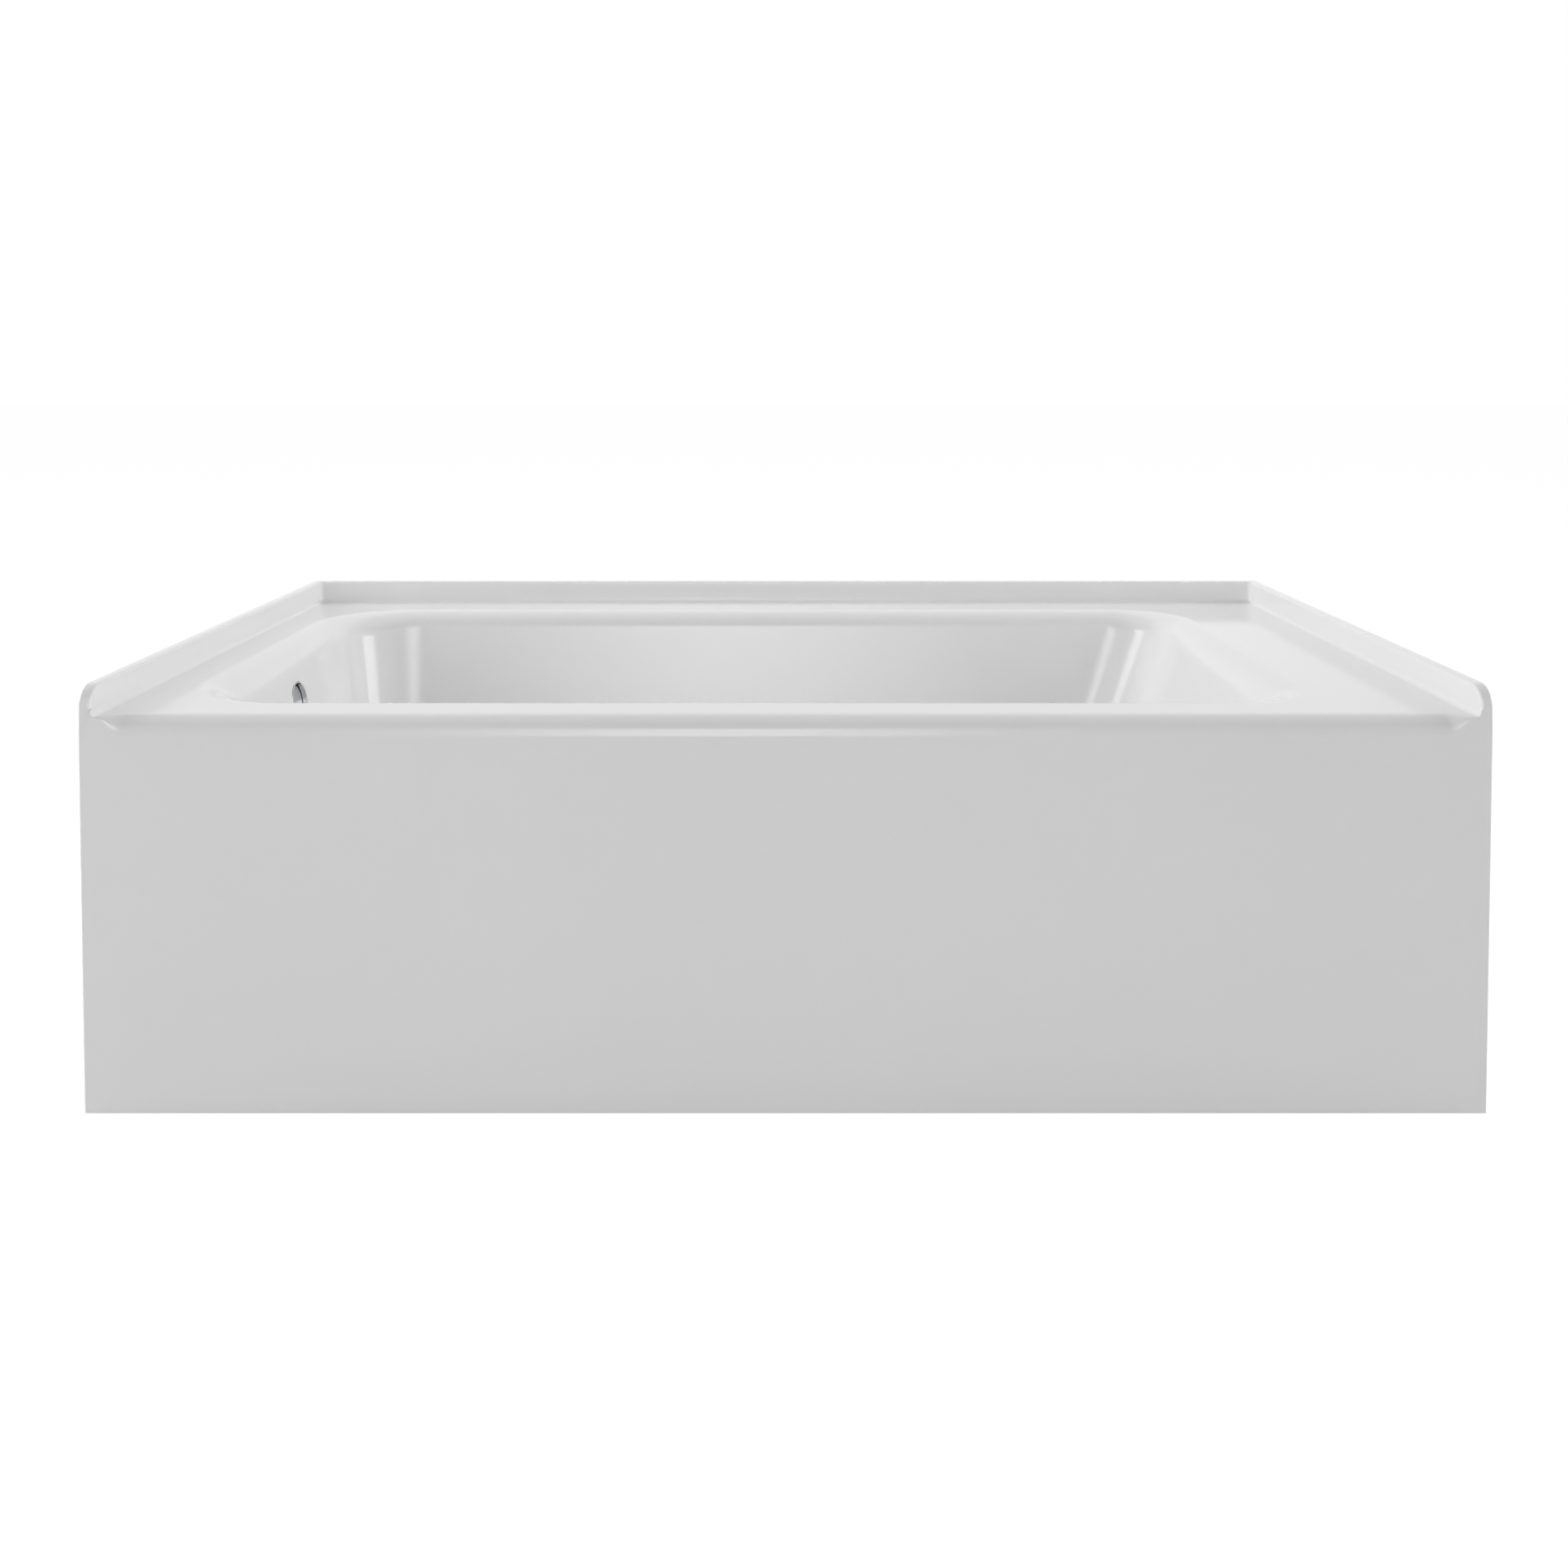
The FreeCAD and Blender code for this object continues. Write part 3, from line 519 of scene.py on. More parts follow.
@dataclass
class TubSheet:
    """The formed acrylic sheet: apron, deck, tile flange and basin.

    Attributes:
        form: the tub's sizes.
        hole_radius: radius of the drain's and the overflow's holes.
        fade_spans: spans over which the front roll tightens at each end.
        lip_steps: flats on the flange's inner top edge.
        inner_foot: height of the underside of what is cut from behind the sheet.
    """

    form: TubForm
    hole_radius: float = 0.0247
    fade_spans: int = 20
    lip_steps: int = 6
    inner_foot: float = -0.05

    def outer(self, inset: float, foot: float, steps: int) -> bpy.types.Object:
        """The tub's outer form as a block, drafted below the skirt.

        Args:
            inset: how far it lies behind the visible faces.
            foot: height of its underside.
            steps: flats on each rounding.

        Returns:
            The block.
        """
        form = self.form
        x, y, top = form.length / 2 - inset, form.depth / 2 - inset, form.height - inset
        body = block("outer", (-x, -y, foot), (x, y, top))
        bisect(body, (0, 0, form.skirt_foot), (0, 0, 1))
        lean = form.draft * (form.skirt_foot - foot) / form.skirt_foot
        for vertex in body.data.vertices:
            if vertex.co.z < form.skirt_foot - NEAR:
                vertex.co.x = math.copysign(x - lean, vertex.co.x)
        bevel_edges(body, form.flange_nose - inset, 3 * steps,
                    lambda a, b: min(a.z, b.z) > top - NEAR and max(a.y, b.y) < -y + NEAR)
        if inset == 0:
            bevel_edges(body, form.outer_edge, steps,
                        lambda a, b: self.on_outer_edge(a, b, foot))
        return body

    def on_outer_edge(self, a: Vector, b: Vector, foot: float) -> bool:
        """Whether the edge from a to b is on the ends' rounded outline or the top back edge."""
        form = self.form
        same_end = (a.x * b.x > 0
                    and min(abs(a.x), abs(b.x)) > form.length / 2 - 2 * form.draft)
        at_foot = max(a.z, b.z) < foot + NEAR
        crease = abs(a.z - b.z) < NEAR and max(a.z, b.z) < form.deck
        top_back = (min(a.z, b.z) > form.height - NEAR
                    and min(a.y, b.y) > form.depth / 2 - NEAR)
        return (same_end and not at_foot and not crease) or (top_back and a.x * b.x < 0)

    def void(self, grown: float, steps: int) -> bpy.types.Object:
        """The open space above the deck.

        Where it is grown into the sheet it also takes in the front roll, which front_roll cuts
        from the visible surface.

        Args:
            grown: how far it is grown into the sheet.
            steps: flats on each rounding.

        Returns:
            The cutting block.
        """
        form = self.form
        x, back = (face + grown for face in form.flange_faces)
        face = -form.depth / 2 + grown
        deck = form.deck - grown
        cutter = block("void", (-x, face - 2 * CLEAR, deck), (x, back, form.height + CLEAR))
        if grown == 0:
            bevel_edges(cutter, form.flange_corner, 2 * steps, self.on_flange_corner)
            bevel_edges(cutter, form.flange_cove, 2 * steps, self.on_flange_foot)
            return cutter
        bisect(cutter, (0, face, 0), (0, 1, 0))
        mesh = open_bare(cutter, "FACE")
        for side in mesh.faces:
            downward = side.normal.z < NEAR - 1
            side.select_set(downward and side.calc_center_median().y < face)
        bmesh.update_edit_mesh(cutter.data)
        bpy.ops.mesh.extrude_region_move(
            TRANSFORM_OT_translate={"value": (0, 0, -form.front_roll - CLEAR)})
        bpy.ops.object.mode_set(mode="OBJECT")
        bevel_edges(cutter, form.front_roll - grown, 3 * steps,
                    lambda a, b: abs(a.y - face) + abs(b.y - face) < NEAR
                    and abs(a.z - deck) + abs(b.z - deck) < NEAR)
        return cutter

    def on_flange_corner(self, a: Vector, b: Vector) -> bool:
        """Whether the edge from a to b stands upright in one of the flange's back corners."""
        _, back = self.form.flange_faces
        return min(a.y, b.y) > back - NEAR and abs(a.z - b.z) > self.form.flange

    def on_flange_foot(self, a: Vector, b: Vector) -> bool:
        """Whether the edge from a to b lies where the flange meets the deck."""
        form = self.form
        x, back = form.flange_faces
        low = max(a.z, b.z) < form.deck + NEAR
        on_side = min(abs(a.x), abs(b.x)) > x - NEAR and a.x * b.x > 0
        return low and (on_side or min(a.y, b.y) > back - form.flange_corner - NEAR)

    def on_flange_lip(self, a: Vector, b: Vector) -> bool:
        """Whether the edge from a to b is on the flange's inner top edge or on its nose."""
        form = self.form
        x, back = form.flange_faces
        inner = max(abs(a.x), abs(b.x)) < x + 2 * NEAR and max(a.y, b.y) < back + 2 * NEAR
        on_top = min(a.z, b.z) > form.height - NEAR
        on_end = min(abs(a.x), abs(b.x)) > x - 2 * NEAR
        on_nose = on_end and min(a.z, b.z) > form.height - form.flange_nose - NEAR
        at_front = max(a.y, b.y) < -form.depth / 2 + form.flange_nose + NEAR
        return inner and (on_top or (on_nose and at_front))

    def front_roll(self, steps: int) -> bpy.types.Object:
        """What is cut from the deck's front edge: a roll that tightens towards the flanges.

        Args:
            steps: flats on the roll.

        Returns:
            The cutting solid.
        """
        form = self.form
        reach = form.flange_faces[0] - form.flange_cove
        face = -form.depth / 2
        spans = self.fade_spans
        stops = [form.roll_fade * i / spans for i in range(spans + 1)]
        places = [-reach + stop for stop in stops] + [reach - stop for stop in reversed(stops)]
        rings = []
        for x in places:
            share = min((reach - abs(x)) / form.roll_fade, 1.0)
            eased = share * share * (3 - 2 * share)
            radius = form.roll_end + (form.front_roll - form.roll_end) * eased
            ring = [(x, face - CLEAR, form.deck + CLEAR), (x, face - CLEAR, form.deck - radius)]
            for step in range(steps + 1):
                turn = math.pi / 2 * step / steps
                ring.append((x, face + radius * (1 - math.cos(turn)),
                             form.deck - radius * (1 - math.sin(turn))))
            ring.append((x, face + radius, form.deck + CLEAR))
            rings.append(ring)
        cutter = loft("roll", rings)
        open_whole(cutter)
        bpy.ops.mesh.normals_make_consistent(inside=False)
        bpy.ops.object.mode_set(mode="OBJECT")
        return cutter

    def hollow(self, grown: float, steps: int, arc: int) -> bpy.types.Object:
        """The basin as a solid, with the dish round the drain.

        Args:
            grown: how far it is grown into the sheet.
            steps: rings on the roll and on the floor's fillet.
            arc: points on each corner.

        Returns:
            The cutting solid.
        """
        form = self.form
        rings = [form.ring(z, grown, arc) for z in form.levels(grown, steps)]
        lid = [(x, y, form.height + CLEAR) for x, y, _ in rings[0]]
        basin = loft("basin", [lid] + rings)
        dish = drum("dish", form.dish_radius + grown, form.floor - form.dish_depth - grown,
                    form.floor + CLEAR)
        place(dish, Matrix.Translation((*form.drain, 0)))
        combine(basin, dish, Cut.JOIN)
        return basin

    def skin(self, depth: float, foot: float, steps: int, arc: int) -> bpy.types.Object:
        """Everything that lies a given depth behind the visible surface.

        Args:
            depth: that depth.
            foot: height of its underside.
            steps: flats on each rounding.
            arc: points on each basin corner.

        Returns:
            The solid.
        """
        body = self.outer(depth, foot, steps)
        combine(body, self.void(depth, steps), Cut.REMOVE)
        if depth == 0:
            combine(body, self.front_roll(3 * steps), Cut.REMOVE)
            bevel_edges(body, self.form.flange_edge, self.lip_steps, self.on_flange_lip)
        combine(body, self.hollow(depth, 3 * steps, arc), Cut.REMOVE)
        return body

    def build(self) -> bpy.types.Object:
        """Make the sheet.

        Returns:
            The finished piece.
        """
        form = self.form
        sheet = self.skin(depth=0.0, foot=form.apron_gap, steps=10, arc=64)
        inner = self.skin(depth=form.sheet, foot=self.inner_foot, steps=2, arc=8)
        combine(sheet, inner, Cut.REMOVE)
        behind = -form.depth / 2 + form.apron_return
        reach = form.flange_thickness + form.draft + 2 * form.sheet
        far = form.length
        for x0, x1, y0 in ((-far, -form.length / 2 + reach, behind),
                           (form.length / 2 - reach, far, behind),
                           (-far, far, form.depth / 2 - reach)):
            trim = block("trim", (x0, y0, -CLEAR), (x1, far, form.skirt_foot))
            combine(sheet, trim, Cut.REMOVE)
        for matrix, low, high in ((Matrix.Translation((*form.drain, 0)), 0.0, form.deck / 2),
                                  (form.overflow, -CLEAR, CLEAR)):
            hole = drum("hole", self.hole_radius, low, high)
            place(hole, matrix)
            combine(sheet, hole, Cut.REMOVE)
        sheet.name = "tub_sheet"
        smooth(sheet)
        return sheet


# -----------------------------------------------------------------------------
# Finishes
# -----------------------------------------------------------------------------

def grey(level: float) -> tuple[float, float, float, float]:
    """An opaque grey of a given brightness."""
    return level, level, level, 1.0


class Nodes:
    """A node tree, built link by link."""

    def __init__(self, owner: bpy.types.Material | bpy.types.World) -> None:
        """Start with the emptied tree of a material or a world."""
        owner.use_nodes = True
        self.tree = owner.node_tree
        self.tree.nodes.clear()

    def add(self, kind: str, **settings: object) -> bpy.types.Node:
        """Add a node and set its options and its unlinked inputs.

        Args:
            kind: the node's type.
            settings: options by name; inputs by name with underscores for spaces.

        Returns:
            The node.
        """
        node = self.tree.nodes.new(kind)
        for key, value in settings.items():
            if hasattr(node, key):
                setattr(node, key, value)
            else:
                node.inputs[key.replace("_", " ")].default_value = value
        return node

    def join(self, source: bpy.types.Node, output: str | int, target: bpy.types.Node,
             socket: str | int) -> None:
        """Link an output of one node to an input of another."""
        self.tree.links.new(source.outputs[output], target.inputs[socket])

    def looking(self) -> bpy.types.Node:
        """A node that gives one where a ray comes from the camera, a mirror or glass."""
        path = self.add("ShaderNodeLightPath")
        first = self.add("ShaderNodeMath", operation="MAXIMUM")
        second = self.add("ShaderNodeMath", operation="MAXIMUM")
        self.join(path, "Is Camera Ray", first, 0)
        self.join(path, "Is Glossy Ray", first, 1)
        self.join(first, 0, second, 0)
        self.join(path, "Is Transmission Ray", second, 1)
        return second

    def mix_out(self, share: bpy.types.Node, low: bpy.types.Node, high: bpy.types.Node,
                output: str = "ShaderNodeOutputMaterial") -> None:
        """End the tree with a mix of two shaders, from low at share 0 to high at share 1."""
        mix = self.add("ShaderNodeMixShader")
        self.join(share, 0, mix, "Fac")
        self.join(low, 0, mix, 1)
        self.join(high, 0, mix, 2)
        self.join(mix, "Shader", self.add(output), "Surface")


class Graph(Nodes):
    """The nodes of a finish, round one Principled shader."""

    def __init__(self, name: str) -> None:
        """Start a material of that name with a Principled shader."""
        self.material = bpy.data.materials.new(name)
        super().__init__(self.material)
        self.shader = self.add("ShaderNodeBsdfPrincipled")
        self.join(self.shader, "BSDF", self.add("ShaderNodeOutputMaterial"), "Surface")
        self.place = self.add("ShaderNodeTexCoord")

    def set(self, **values: object) -> None:
        """Set the shader's own sockets, with underscores for spaces."""
        for key, value in values.items():
            self.shader.inputs[key.replace("_", " ")].default_value = value

    def mapping(self, scale: Point, turn: Point = (0.0, 0.0, 0.0)) -> bpy.types.Node:
        """Object coordinates through a Mapping node.

        Args:
            scale: stretch along each axis.
            turn: rotation in degrees.

        Returns:
            The Mapping node.
        """
        node = self.add("ShaderNodeMapping", Scale=scale,
                        Rotation=[math.radians(angle) for angle in turn])
        self.join(self.place, "Object", node, "Vector")
        return node

    def noise(self, scale: float, detail: float, roughness: float = 0.5,
              source: bpy.types.Node | None = None) -> bpy.types.Node:
        """A noise pattern on object coordinates or on a mapping.

        Args:
            scale: how fine it is.
            detail: how many octaves it has.
            roughness: how strong the fine octaves are.
            source: a Mapping node, if the pattern is stretched.

        Returns:
            The noise node.
        """
        node = self.add("ShaderNodeTexNoise", Scale=scale, Detail=detail, Roughness=roughness)
        self.join(source or self.place, "Vector" if source else "Object", node, "Vector")
        return node

    def tint(self, source: bpy.types.Node, output: str, *stops: tuple[float, Point]) -> None:
        """Turn a pattern into the shader's colour through a ramp.

        Args:
            source: the pattern.
            output: its output.
            stops: two (position, colour) pairs.
        """
        ramp = self.add("ShaderNodeValToRGB")
        for element, (position, colour) in zip(ramp.color_ramp.elements, stops):
            element.position = position
            element.color = (*colour, 1.0)
        self.join(source, output, ramp, "Fac")
        self.join(ramp, "Color", self.shader, "Base Color")

    def roughen(self, source: bpy.types.Node, span: Pair) -> None:
        """Spread a noise pattern over the shader's roughness, lowest to highest."""
        spread = self.add("ShaderNodeMapRange", From_Min=MIDDLE[0], From_Max=MIDDLE[1],
                          To_Min=span[0], To_Max=span[1])
        self.join(source, "Fac", spread, "Value")
        self.join(spread, "Result", self.shader, "Roughness")

    def bump(self, source: bpy.types.Node, output: str, height: float, strength: float,
             under: bpy.types.Node | None = None) -> bpy.types.Node:
        """Raise a pattern as relief.

        Args:
            source: the pattern.
            output: its output.
            height: the relief's height in metres.
            strength: how much of it shows.
            under: another Bump node that this one adds to.

        Returns:
            The Bump node.
        """
        node = self.add("ShaderNodeBump", Distance=height, Strength=strength)
        self.join(source, output, node, "Height")
        if under:
            self.join(under, "Normal", node, "Normal")
        self.join(node, "Normal", self.shader, "Normal")
        return node


class Coat:
    """What every finish has in common."""

    def build(self, name: str) -> bpy.types.Material:
        """Make the finish.

        Args:
            name: the record's material slot.

        Returns:
            The material.
        """
        graph = Graph(name)
        self.paint(graph)
        return graph.material

    def paint(self, graph: Graph) -> None:
        """Add the patterns that make the finish to its nodes."""
        raise NotImplementedError


@dataclass(frozen=True)
class Acrylic(Coat):
    """Polished white sheet, with the faint waviness of a vacuum-formed surface.

    Attributes:
        colour: its colour.
        shade: the colour where it is duller.
        rough: lowest and highest roughness.
        wave: height of the broad waviness.
        peel: height of the fine one.
    """

    colour: Point = (0.862, 0.864, 0.862)
    shade: Point = (0.852, 0.854, 0.852)
    rough: Pair = (0.085, 0.125)
    wave: float = 0.0001
    peel: float = 0.000012

    def paint(self, graph: Graph) -> None:
        """Add the faint cloud, the polish and the two reliefs."""
        cloud = graph.noise(scale=2.2, detail=2.0)
        graph.tint(cloud, "Fac", (0.35, self.shade), (0.65, self.colour))
        graph.set(IOR=1.49)
        graph.roughen(graph.noise(scale=9.0, detail=4.0), self.rough)
        wave = graph.noise(scale=26.0, detail=2.0, roughness=0.4)
        peel = graph.noise(scale=420.0, detail=2.0)
        broad = graph.bump(wave, "Fac", self.wave, strength=0.06)
        graph.bump(peel, "Fac", self.peel, strength=0.3, under=broad)


@dataclass(frozen=True)
class Fibreglass(Coat):
    """Sprayed chopped-strand laminate: pale resin with short glass strands lying every way.

    Attributes:
        resin: colour between the strands.
        strand: colour of the strands.
        rough: lowest and highest roughness.
        lumps: height of the coarse relief.
        ridge: height of the strands.
    """

    resin: Point = (0.66, 0.64, 0.52)
    strand: Point = (0.80, 0.79, 0.71)
    rough: Pair = (0.38, 0.62)
    lumps: float = 0.0012
    ridge: float = 0.0008

    def paint(self, graph: Graph) -> None:
        """Add the strands and the lumps under them."""
        strands = graph.add("ShaderNodeTexVoronoi", feature="DISTANCE_TO_EDGE", Scale=85.0)
        stretch = graph.mapping(scale=(1.0, 2.4, 1.6), turn=(18, 27, 40))
        graph.join(stretch, "Vector", strands, "Vector")
        graph.tint(strands, "Distance", (0.0, self.strand), (0.12, self.resin))
        graph.set(IOR=1.5)
        lumps = graph.noise(scale=60.0, detail=5.0)
        graph.roughen(lumps, self.rough)
        coarse = graph.bump(lumps, "Fac", self.lumps, strength=0.6)
        graph.bump(strands, "Distance", self.ridge, strength=0.5, under=coarse)


@dataclass(frozen=True)
class Timber(Coat):
    """Sawn timber or the face veneer of plywood, with its grain along one axis.

    Attributes:
        light: colour of the early wood.
        dark: colour of the late wood.
        stretch: how the grain is drawn out along each axis.
        rough: lowest and highest roughness.
        grain: height of the grain.
    """

    light: Point
    dark: Point
    stretch: Point
    rough: Pair = (0.62, 0.82)
    grain: float = 0.0006

    def paint(self, graph: Graph) -> None:
        """Add the grain, drawn out along the piece, and the year rings."""
        drawn = graph.mapping(self.stretch)
        grain = graph.noise(scale=26.0, detail=6.0, roughness=0.62, source=drawn)
        rings = graph.add("ShaderNodeTexWave", wave_type="BANDS", bands_direction="DIAGONAL",
                          Scale=5.0, Distortion=7.0, Detail=3.0)
        graph.join(drawn, "Vector", rings, "Vector")
        both = graph.add("ShaderNodeMath", operation="MULTIPLY")
        graph.join(grain, "Fac", both, 0)
        graph.join(rings, "Fac", both, 1)
        graph.tint(both, "Value", (0.08, self.dark), (0.42, self.light))
        graph.set(IOR=1.4)
        graph.roughen(grain, self.rough)
        graph.bump(grain, "Fac", self.grain, strength=0.5)


@dataclass(frozen=True)
class PlatedSteel(Coat):
    """Zinc on steel: crystals of zinc on sheet, or a bright even plate on fasteners.

    Attributes:
        light: the brighter crystals.
        dark: the darker ones.
        crystal: how fine the crystals are.
        rough: lowest and highest roughness.
        wear: height of the worn relief.
    """

    light: Point
    dark: Point
    crystal: float
    rough: Pair
    wear: float = 0.0001

    def paint(self, graph: Graph) -> None:
        """Add the crystals and the wear."""
        crystals = graph.add("ShaderNodeTexVoronoi", Scale=self.crystal)
        graph.join(graph.place, "Object", crystals, "Vector")
        graph.tint(crystals, "Color", (0.2, self.dark), (0.8, self.light))
        graph.set(Metallic=1.0)
        wear = graph.noise(scale=35.0, detail=4.0)
        graph.roughen(wear, self.rough)
        graph.bump(wear, "Fac", self.wear, strength=0.4)


@dataclass(frozen=True)
class Polished(Coat):
    """Bright plated or turned metal with fine hairlines and a little haze.

    Attributes:
        colour: the metal's colour.
        haze: the same metal where it is duller.
        rough: lowest and highest roughness.
        hairline: height of the fine lines.
    """

    colour: Point
    haze: Point
    rough: Pair
    hairline: float

    def paint(self, graph: Graph) -> None:
        """Add the haze and the hairlines."""
        film = graph.noise(scale=30.0, detail=3.0)
        graph.tint(film, "Fac", (0.4, self.haze), (0.62, self.colour))
        graph.set(Metallic=1.0)
        graph.roughen(film, self.rough)
        drawn = graph.mapping(scale=(0.25, 1.0, 6.0))
        lines = graph.noise(scale=180.0, detail=4.0, roughness=0.6, source=drawn)
        graph.bump(lines, "Fac", self.hairline, strength=0.5)


@dataclass(frozen=True)
class Moulded(Coat):
    """Moulded plastic or rubber with a fine grain and a faint unevenness.

    Attributes:
        colour: its colour.
        shade: the colour where it is duller.
        rough: lowest and highest roughness.
        grain: how fine the grain is.
        relief: height of the grain.
    """

    colour: Point
    shade: Point
    rough: Pair
    grain: float
    relief: float

    def paint(self, graph: Graph) -> None:
        """Add the uneven colour and the grain."""
        cloud = graph.noise(scale=14.0, detail=3.0)
        graph.tint(cloud, "Fac", (0.35, self.shade), (0.65, self.colour))
        graph.set(IOR=1.5)
        texture = graph.noise(scale=self.grain, detail=3.0)
        graph.roughen(texture, self.rough)
        graph.bump(texture, "Fac", self.relief, strength=0.6)


class Finish(Enum):
    """The finishes of the tub's pieces, by the record's material slots."""

    white_acrylic = Acrylic()
    fibreglass = Fibreglass()
    plywood = Timber((0.62, 0.45, 0.27), (0.38, 0.24, 0.12), (0.9, 7.0, 7.0))
    softwood = Timber((0.74, 0.56, 0.35), (0.52, 0.34, 0.17), (0.8, 6.0, 6.0))
    galvanised_steel = PlatedSteel(
        (0.66, 0.68, 0.70), (0.46, 0.48, 0.50), crystal=90.0, rough=(0.28, 0.46))
    zinc_steel = PlatedSteel(
        (0.76, 0.76, 0.74), (0.62, 0.62, 0.60), crystal=400.0, rough=(0.18, 0.32))
    chrome = Polished(
        (0.82, 0.83, 0.84), (0.74, 0.75, 0.76), rough=(0.03, 0.07), hairline=0.000004)
    brushed_cover = Polished(
        (0.62, 0.62, 0.63), (0.54, 0.54, 0.55), rough=(0.36, 0.46), hairline=0.00002)
    brass = Polished(
        (0.74, 0.56, 0.27), (0.60, 0.44, 0.20), rough=(0.14, 0.26), hairline=0.00001)
    rubber = Moulded((0.035, 0.035, 0.035), (0.022, 0.022, 0.022), rough=(0.55, 0.75),
                     grain=300.0, relief=0.00006)
    white_pvc = Moulded((0.78, 0.78, 0.75), (0.73, 0.73, 0.69), rough=(0.26, 0.38),
                        grain=160.0, relief=0.00003)
    pad_plastic = Moulded((0.030, 0.031, 0.034), (0.020, 0.021, 0.023), rough=(0.42, 0.6),
                          grain=350.0, relief=0.00005)


@dataclass
class Wardrobe:
    """Every finish, made once and put on the pieces that wear it."""

    made: dict[str, bpy.types.Material] = field(default_factory=dict)

    def finish(self, slot: str) -> bpy.types.Material:
        """The finish of a material slot, made when it is first asked for."""
        if slot not in self.made:
            self.made[slot] = Finish[slot].value.build(slot)
        return self.made[slot]

    def wear(self, piece: bpy.types.Object, slot: str) -> None:
        """Give a piece the finish of one material slot all over."""
        piece.data.materials.clear()
        piece.data.materials.append(self.finish(slot))

    def dress_nodes(self) -> None:
        """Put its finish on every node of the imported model."""
        for part in frame["record"]["subparts"]:
            for held in frame["nodes"][part["node"]].material_slots:
                held.material = self.finish(part["material_slot"])
            log.info("%s wears %s", part["node"], part["material_slot"])


# -----------------------------------------------------------------------------
# The studio
# -----------------------------------------------------------------------------

@dataclass(frozen=True)
class SoftBox:
    """A lamp that lights the tub, a card that only reflections see, or both in one place.

    Attributes:
        name: the soft box's name.
        place: where it hangs.
        aim: what it points at.
        size: its width and height.
        watts: power of the lamp, or 0 for a card alone.
        glow: brightness of the card at its middle, or 0 for a lamp alone.
        edge: share of the card's width and of its height over which it fades out.
    """

    name: str
    place: Point
    aim: Point
    size: Pair
    watts: float = 0.0
    glow: float = 0.0
    edge: Pair = (0.3, 0.3)

    def hang(self, thing: bpy.types.Object) -> None:
        """Put a lamp or a card in its place, turned to its aim."""
        way = Vector(self.aim) - Vector(self.place)
        thing.location = self.place
        thing.rotation_euler = way.to_track_quat("-Z", "Y").to_euler()

    def lamp(self) -> None:
        """Add the lamp, which reflections don't see."""
        light = bpy.data.lights.new(self.name, "AREA")
        light.shape = "RECTANGLE"
        light.size, light.size_y = self.size
        light.energy = self.watts
        lamp = bpy.data.objects.new(self.name, light)
        lamp.visible_glossy = False
        self.hang(lamp)
        bpy.context.collection.objects.link(lamp)

    def card(self) -> None:
        """Add the glowing card, soft at its edges."""
        deselect()
        bpy.ops.mesh.primitive_plane_add(size=1)
        card = bpy.context.object
        card.name = self.name + "_card"
        card.scale = (*self.size, 1.0)
        self.hang(card)
        card.visible_camera = False
        card.visible_diffuse = False
        card.visible_shadow = False
        card.data.materials.append(self.glowing())

    def glowing(self) -> bpy.types.Material:
        """The card's light, fading towards its four edges."""
        material = bpy.data.materials.new(self.name + "_glow")
        nodes = Nodes(material)
        place = nodes.add("ShaderNodeTexCoord")
        split = nodes.add("ShaderNodeSeparateXYZ")
        nodes.join(place, "Object", split, "Vector")
        both = nodes.add("ShaderNodeMath", operation="MULTIPLY")
        half = 0.5
        for socket, (axis, edge) in enumerate(zip("XY", self.edge)):
            away = nodes.add("ShaderNodeMath", operation="ABSOLUTE")
            fade = nodes.add("ShaderNodeMapRange", interpolation_type="SMOOTHSTEP",
                             From_Min=half, From_Max=half * (1 - edge))
            nodes.join(split, axis, away, 0)
            nodes.join(away, 0, fade, "Value")
            nodes.join(fade, "Result", both, socket)
        nodes.mix_out(both, nodes.add("ShaderNodeBsdfTransparent"),
                      nodes.add("ShaderNodeEmission", Strength=self.glow))
        return material


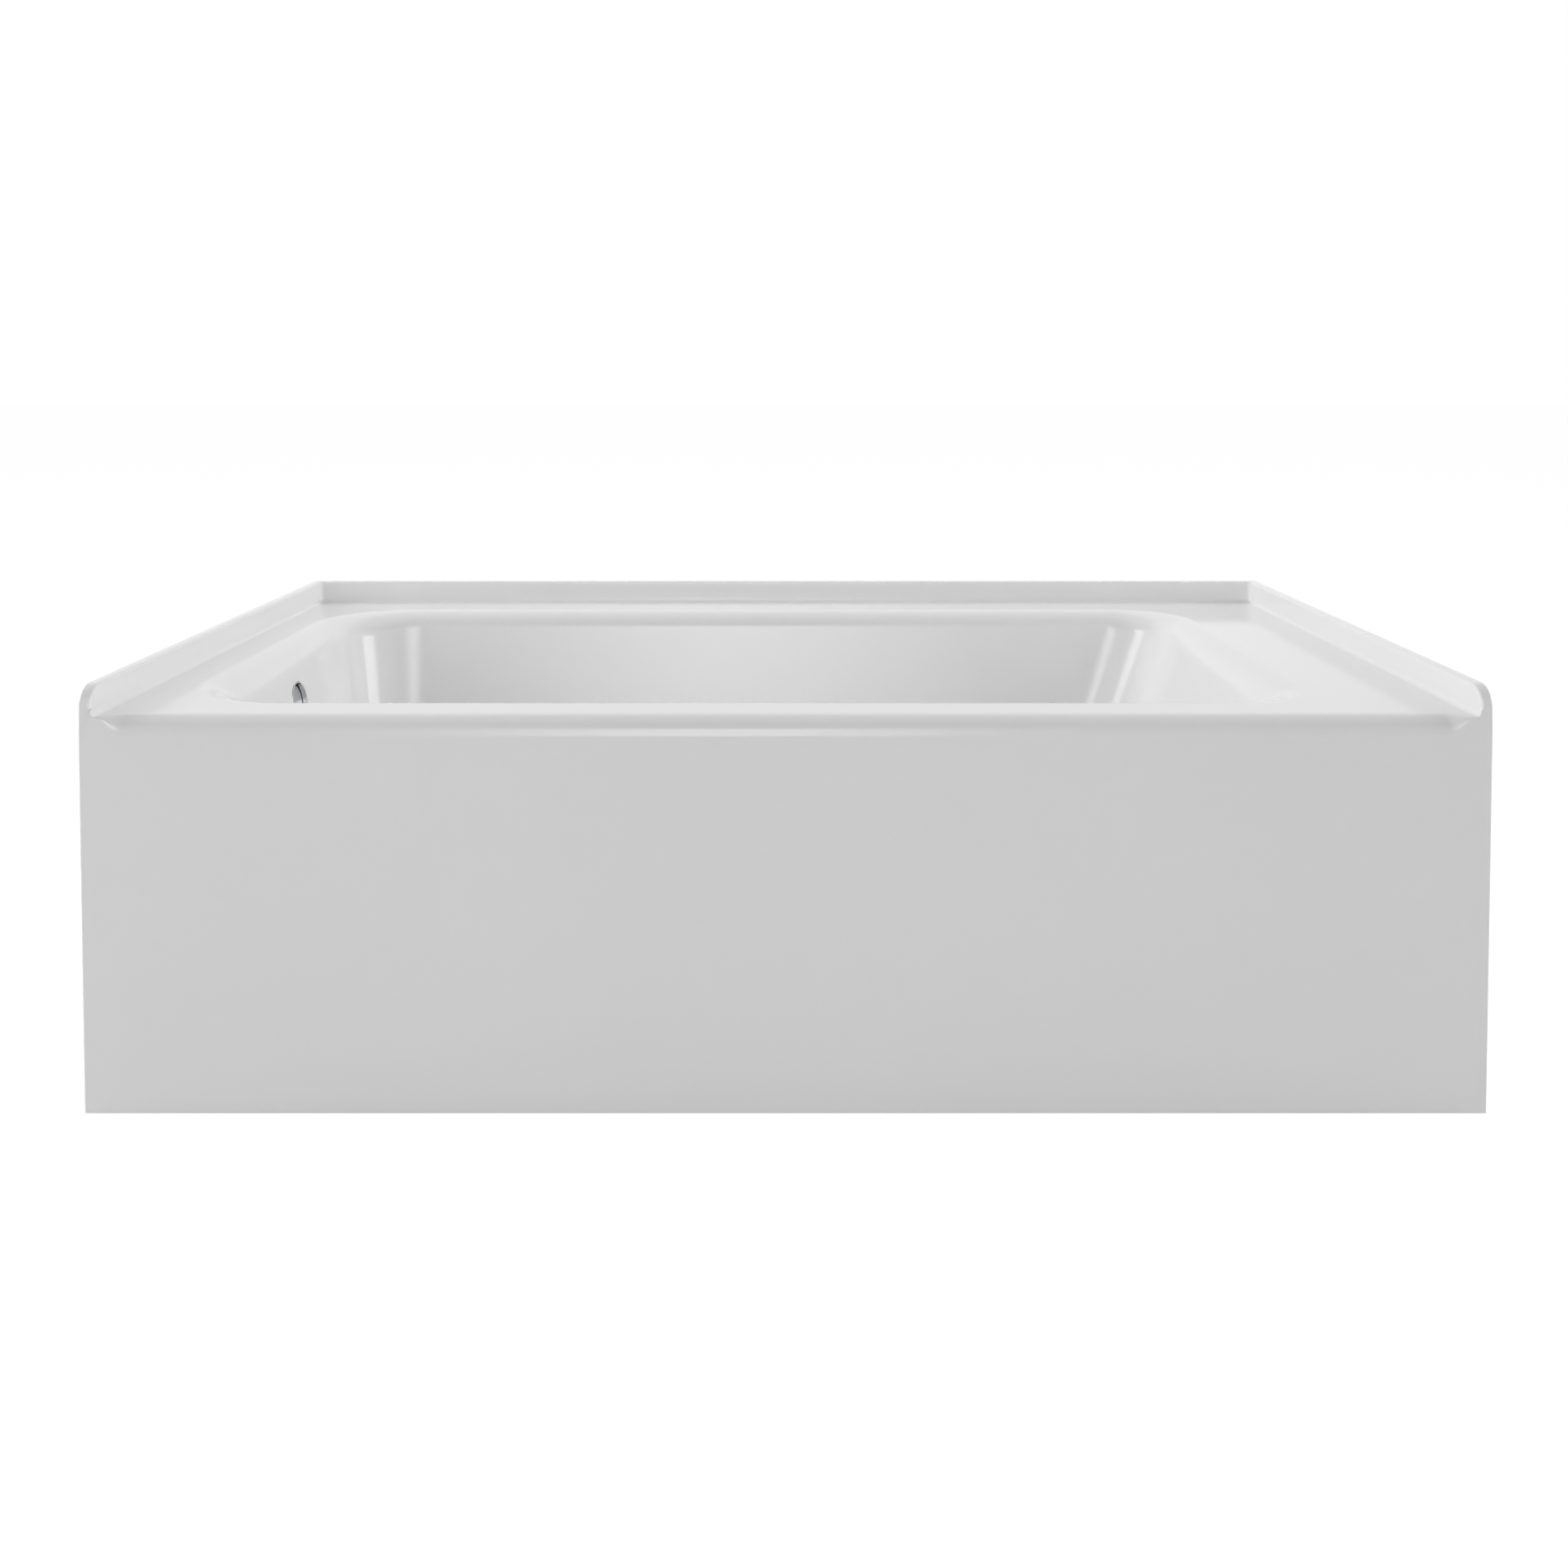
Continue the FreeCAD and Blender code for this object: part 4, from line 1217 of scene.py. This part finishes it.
@dataclass
class Studio:
    """Floor, light and camera.

    Attributes:
        form: the tub's sizes, which place the camera.
        lens: the camera's focal length in millimetres.
        film: width of the camera's frame in millimetres.
        distance: from the apron's face to the camera.
        eye: height of the camera.
        shift: how far the frame is moved sideways and up, as shares of its width.
        sight: how far the camera sees.
        ambient: light from all round; 0 leaves the lighting to the lamps.
        floor_size: width of the floor.
        floor_plain: the floor's grey where it throws light back on the tub.
        floor_seen: its grey where the camera or a reflection sees it.
        floor_glow: what it adds there, so that it stays white outside the tub's shadow.
        boxes: the soft boxes.
    """

    form: TubForm
    lens: float = 32.1
    film: float = 36.0
    distance: float = 1.505
    eye: float = 0.801
    shift: Pair = (-0.001, -0.264)
    sight: float = 100.0
    ambient: float = 0.0
    floor_size: float = 60.0
    floor_plain: float = 0.95
    floor_seen: float = 0.12
    floor_glow: float = 0.99
    boxes: tuple[SoftBox, ...] = (
        SoftBox("front_box", (-0.29, -4.2, 1.55), (-0.29, 0.0, 1.55), (3.0, 3.1),
                watts=51.4, glow=4.2, edge=(1.0, 0.1)),
        SoftBox("left_box", (-7.0, -0.97, 1.95), (0.0, 0.0, 0.4), (3.5, 3.9), watts=257.6),
        SoftBox("left_tall", (-3.4, -0.8, 2.4), (0.0, 0.0, 1.2), (1.6, 3.6),
                glow=4.0, edge=(0.3, 0.2)),
        SoftBox("right_box", (7.0, -0.97, 1.95), (0.0, 0.0, 0.4), (3.5, 3.9), watts=217.7),
        SoftBox("right_card", (3.6, -0.5, 1.2), (0.0, 0.0, 0.4), (1.8, 2.0), glow=4.76),
        SoftBox("ceiling", (0.0, -0.8, 3.6), (0.0, -0.8, 0.0), (9.0, 7.0), glow=0.25),
        SoftBox("left_high", (-2.4, 0.0, 2.4), (0.3, 0.0, 0.3), (1.4, 1.8), watts=23.7),
        SoftBox("right_high", (2.4, 0.0, 2.4), (-0.3, 0.0, 0.3), (1.4, 1.8), watts=19.6),
        SoftBox("back_high", (0.0, 2.0, 3.0), (0.0, 0.0, 0.4), (3.0, 1.4), watts=52.6),
    )

    def world(self) -> None:
        """Light from all round, and white where the camera or a mirror looks past the tub."""
        world = bpy.data.worlds.new("studio")
        bpy.context.scene.world = world
        nodes = Nodes(world)
        light = nodes.add("ShaderNodeBackground", Color=grey(1.0), Strength=self.ambient)
        seen = nodes.add("ShaderNodeBackground", Color=grey(1.0), Strength=1.0)
        nodes.mix_out(nodes.looking(), light, seen, "ShaderNodeOutputWorld")

    def floor(self) -> None:
        """Lay a wide pale floor that keeps the tub's shadow."""
        deselect()
        bpy.ops.mesh.primitive_plane_add(size=self.floor_size, location=(0, 0, 0))
        floor = settle("floor")
        material = bpy.data.materials.new("pale_floor")
        nodes = Nodes(material)
        plain = nodes.add("ShaderNodeBsdfDiffuse", Color=grey(self.floor_plain))
        seen = nodes.add("ShaderNodeBsdfDiffuse", Color=grey(self.floor_seen))
        glow = nodes.add("ShaderNodeEmission", Strength=self.floor_glow)
        both = nodes.add("ShaderNodeAddShader")
        nodes.join(seen, "BSDF", both, 0)
        nodes.join(glow, "Emission", both, 1)
        nodes.mix_out(nodes.looking(), plain, both)
        floor.data.materials.append(material)

    def camera(self) -> None:
        """Stand the camera in front of the apron, level, with the frame moved down."""
        lens = bpy.data.cameras.new("camera")
        lens.sensor_fit = "HORIZONTAL"
        lens.sensor_width = self.film
        lens.lens = self.lens
        lens.shift_x, lens.shift_y = self.shift
        lens.clip_end = self.sight
        camera = bpy.data.objects.new("camera", lens)
        camera.location = (0.0, -self.form.depth / 2 - self.distance, self.eye)
        camera.rotation_euler = (math.pi / 2, 0, 0)
        bpy.context.collection.objects.link(camera)
        bpy.context.scene.camera = camera

    def build(self) -> None:
        """Set up the studio."""
        self.world()
        self.floor()
        for box in self.boxes:
            if box.watts > 0:
                box.lamp()
            if box.glow > 0:
                box.card()
        self.camera()
        bpy.context.scene.view_settings.view_transform = "Standard"


def main() -> None:
    """Build the pieces in order and report each."""
    logging.basicConfig(level=logging.INFO, format="%(name)s: %(message)s")
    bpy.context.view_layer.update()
    form = TubForm()
    wardrobe = Wardrobe()
    Studio(form).build()
    wardrobe.dress_nodes()
    sheet = TubSheet(form).build()
    wardrobe.wear(sheet, "white_acrylic")
    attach(sheet, "tub")
    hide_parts("tub_shell")
    log.info("tub sheet: %d faces", len(sheet.data.polygons))


if __name__ == "__main__":
    main()
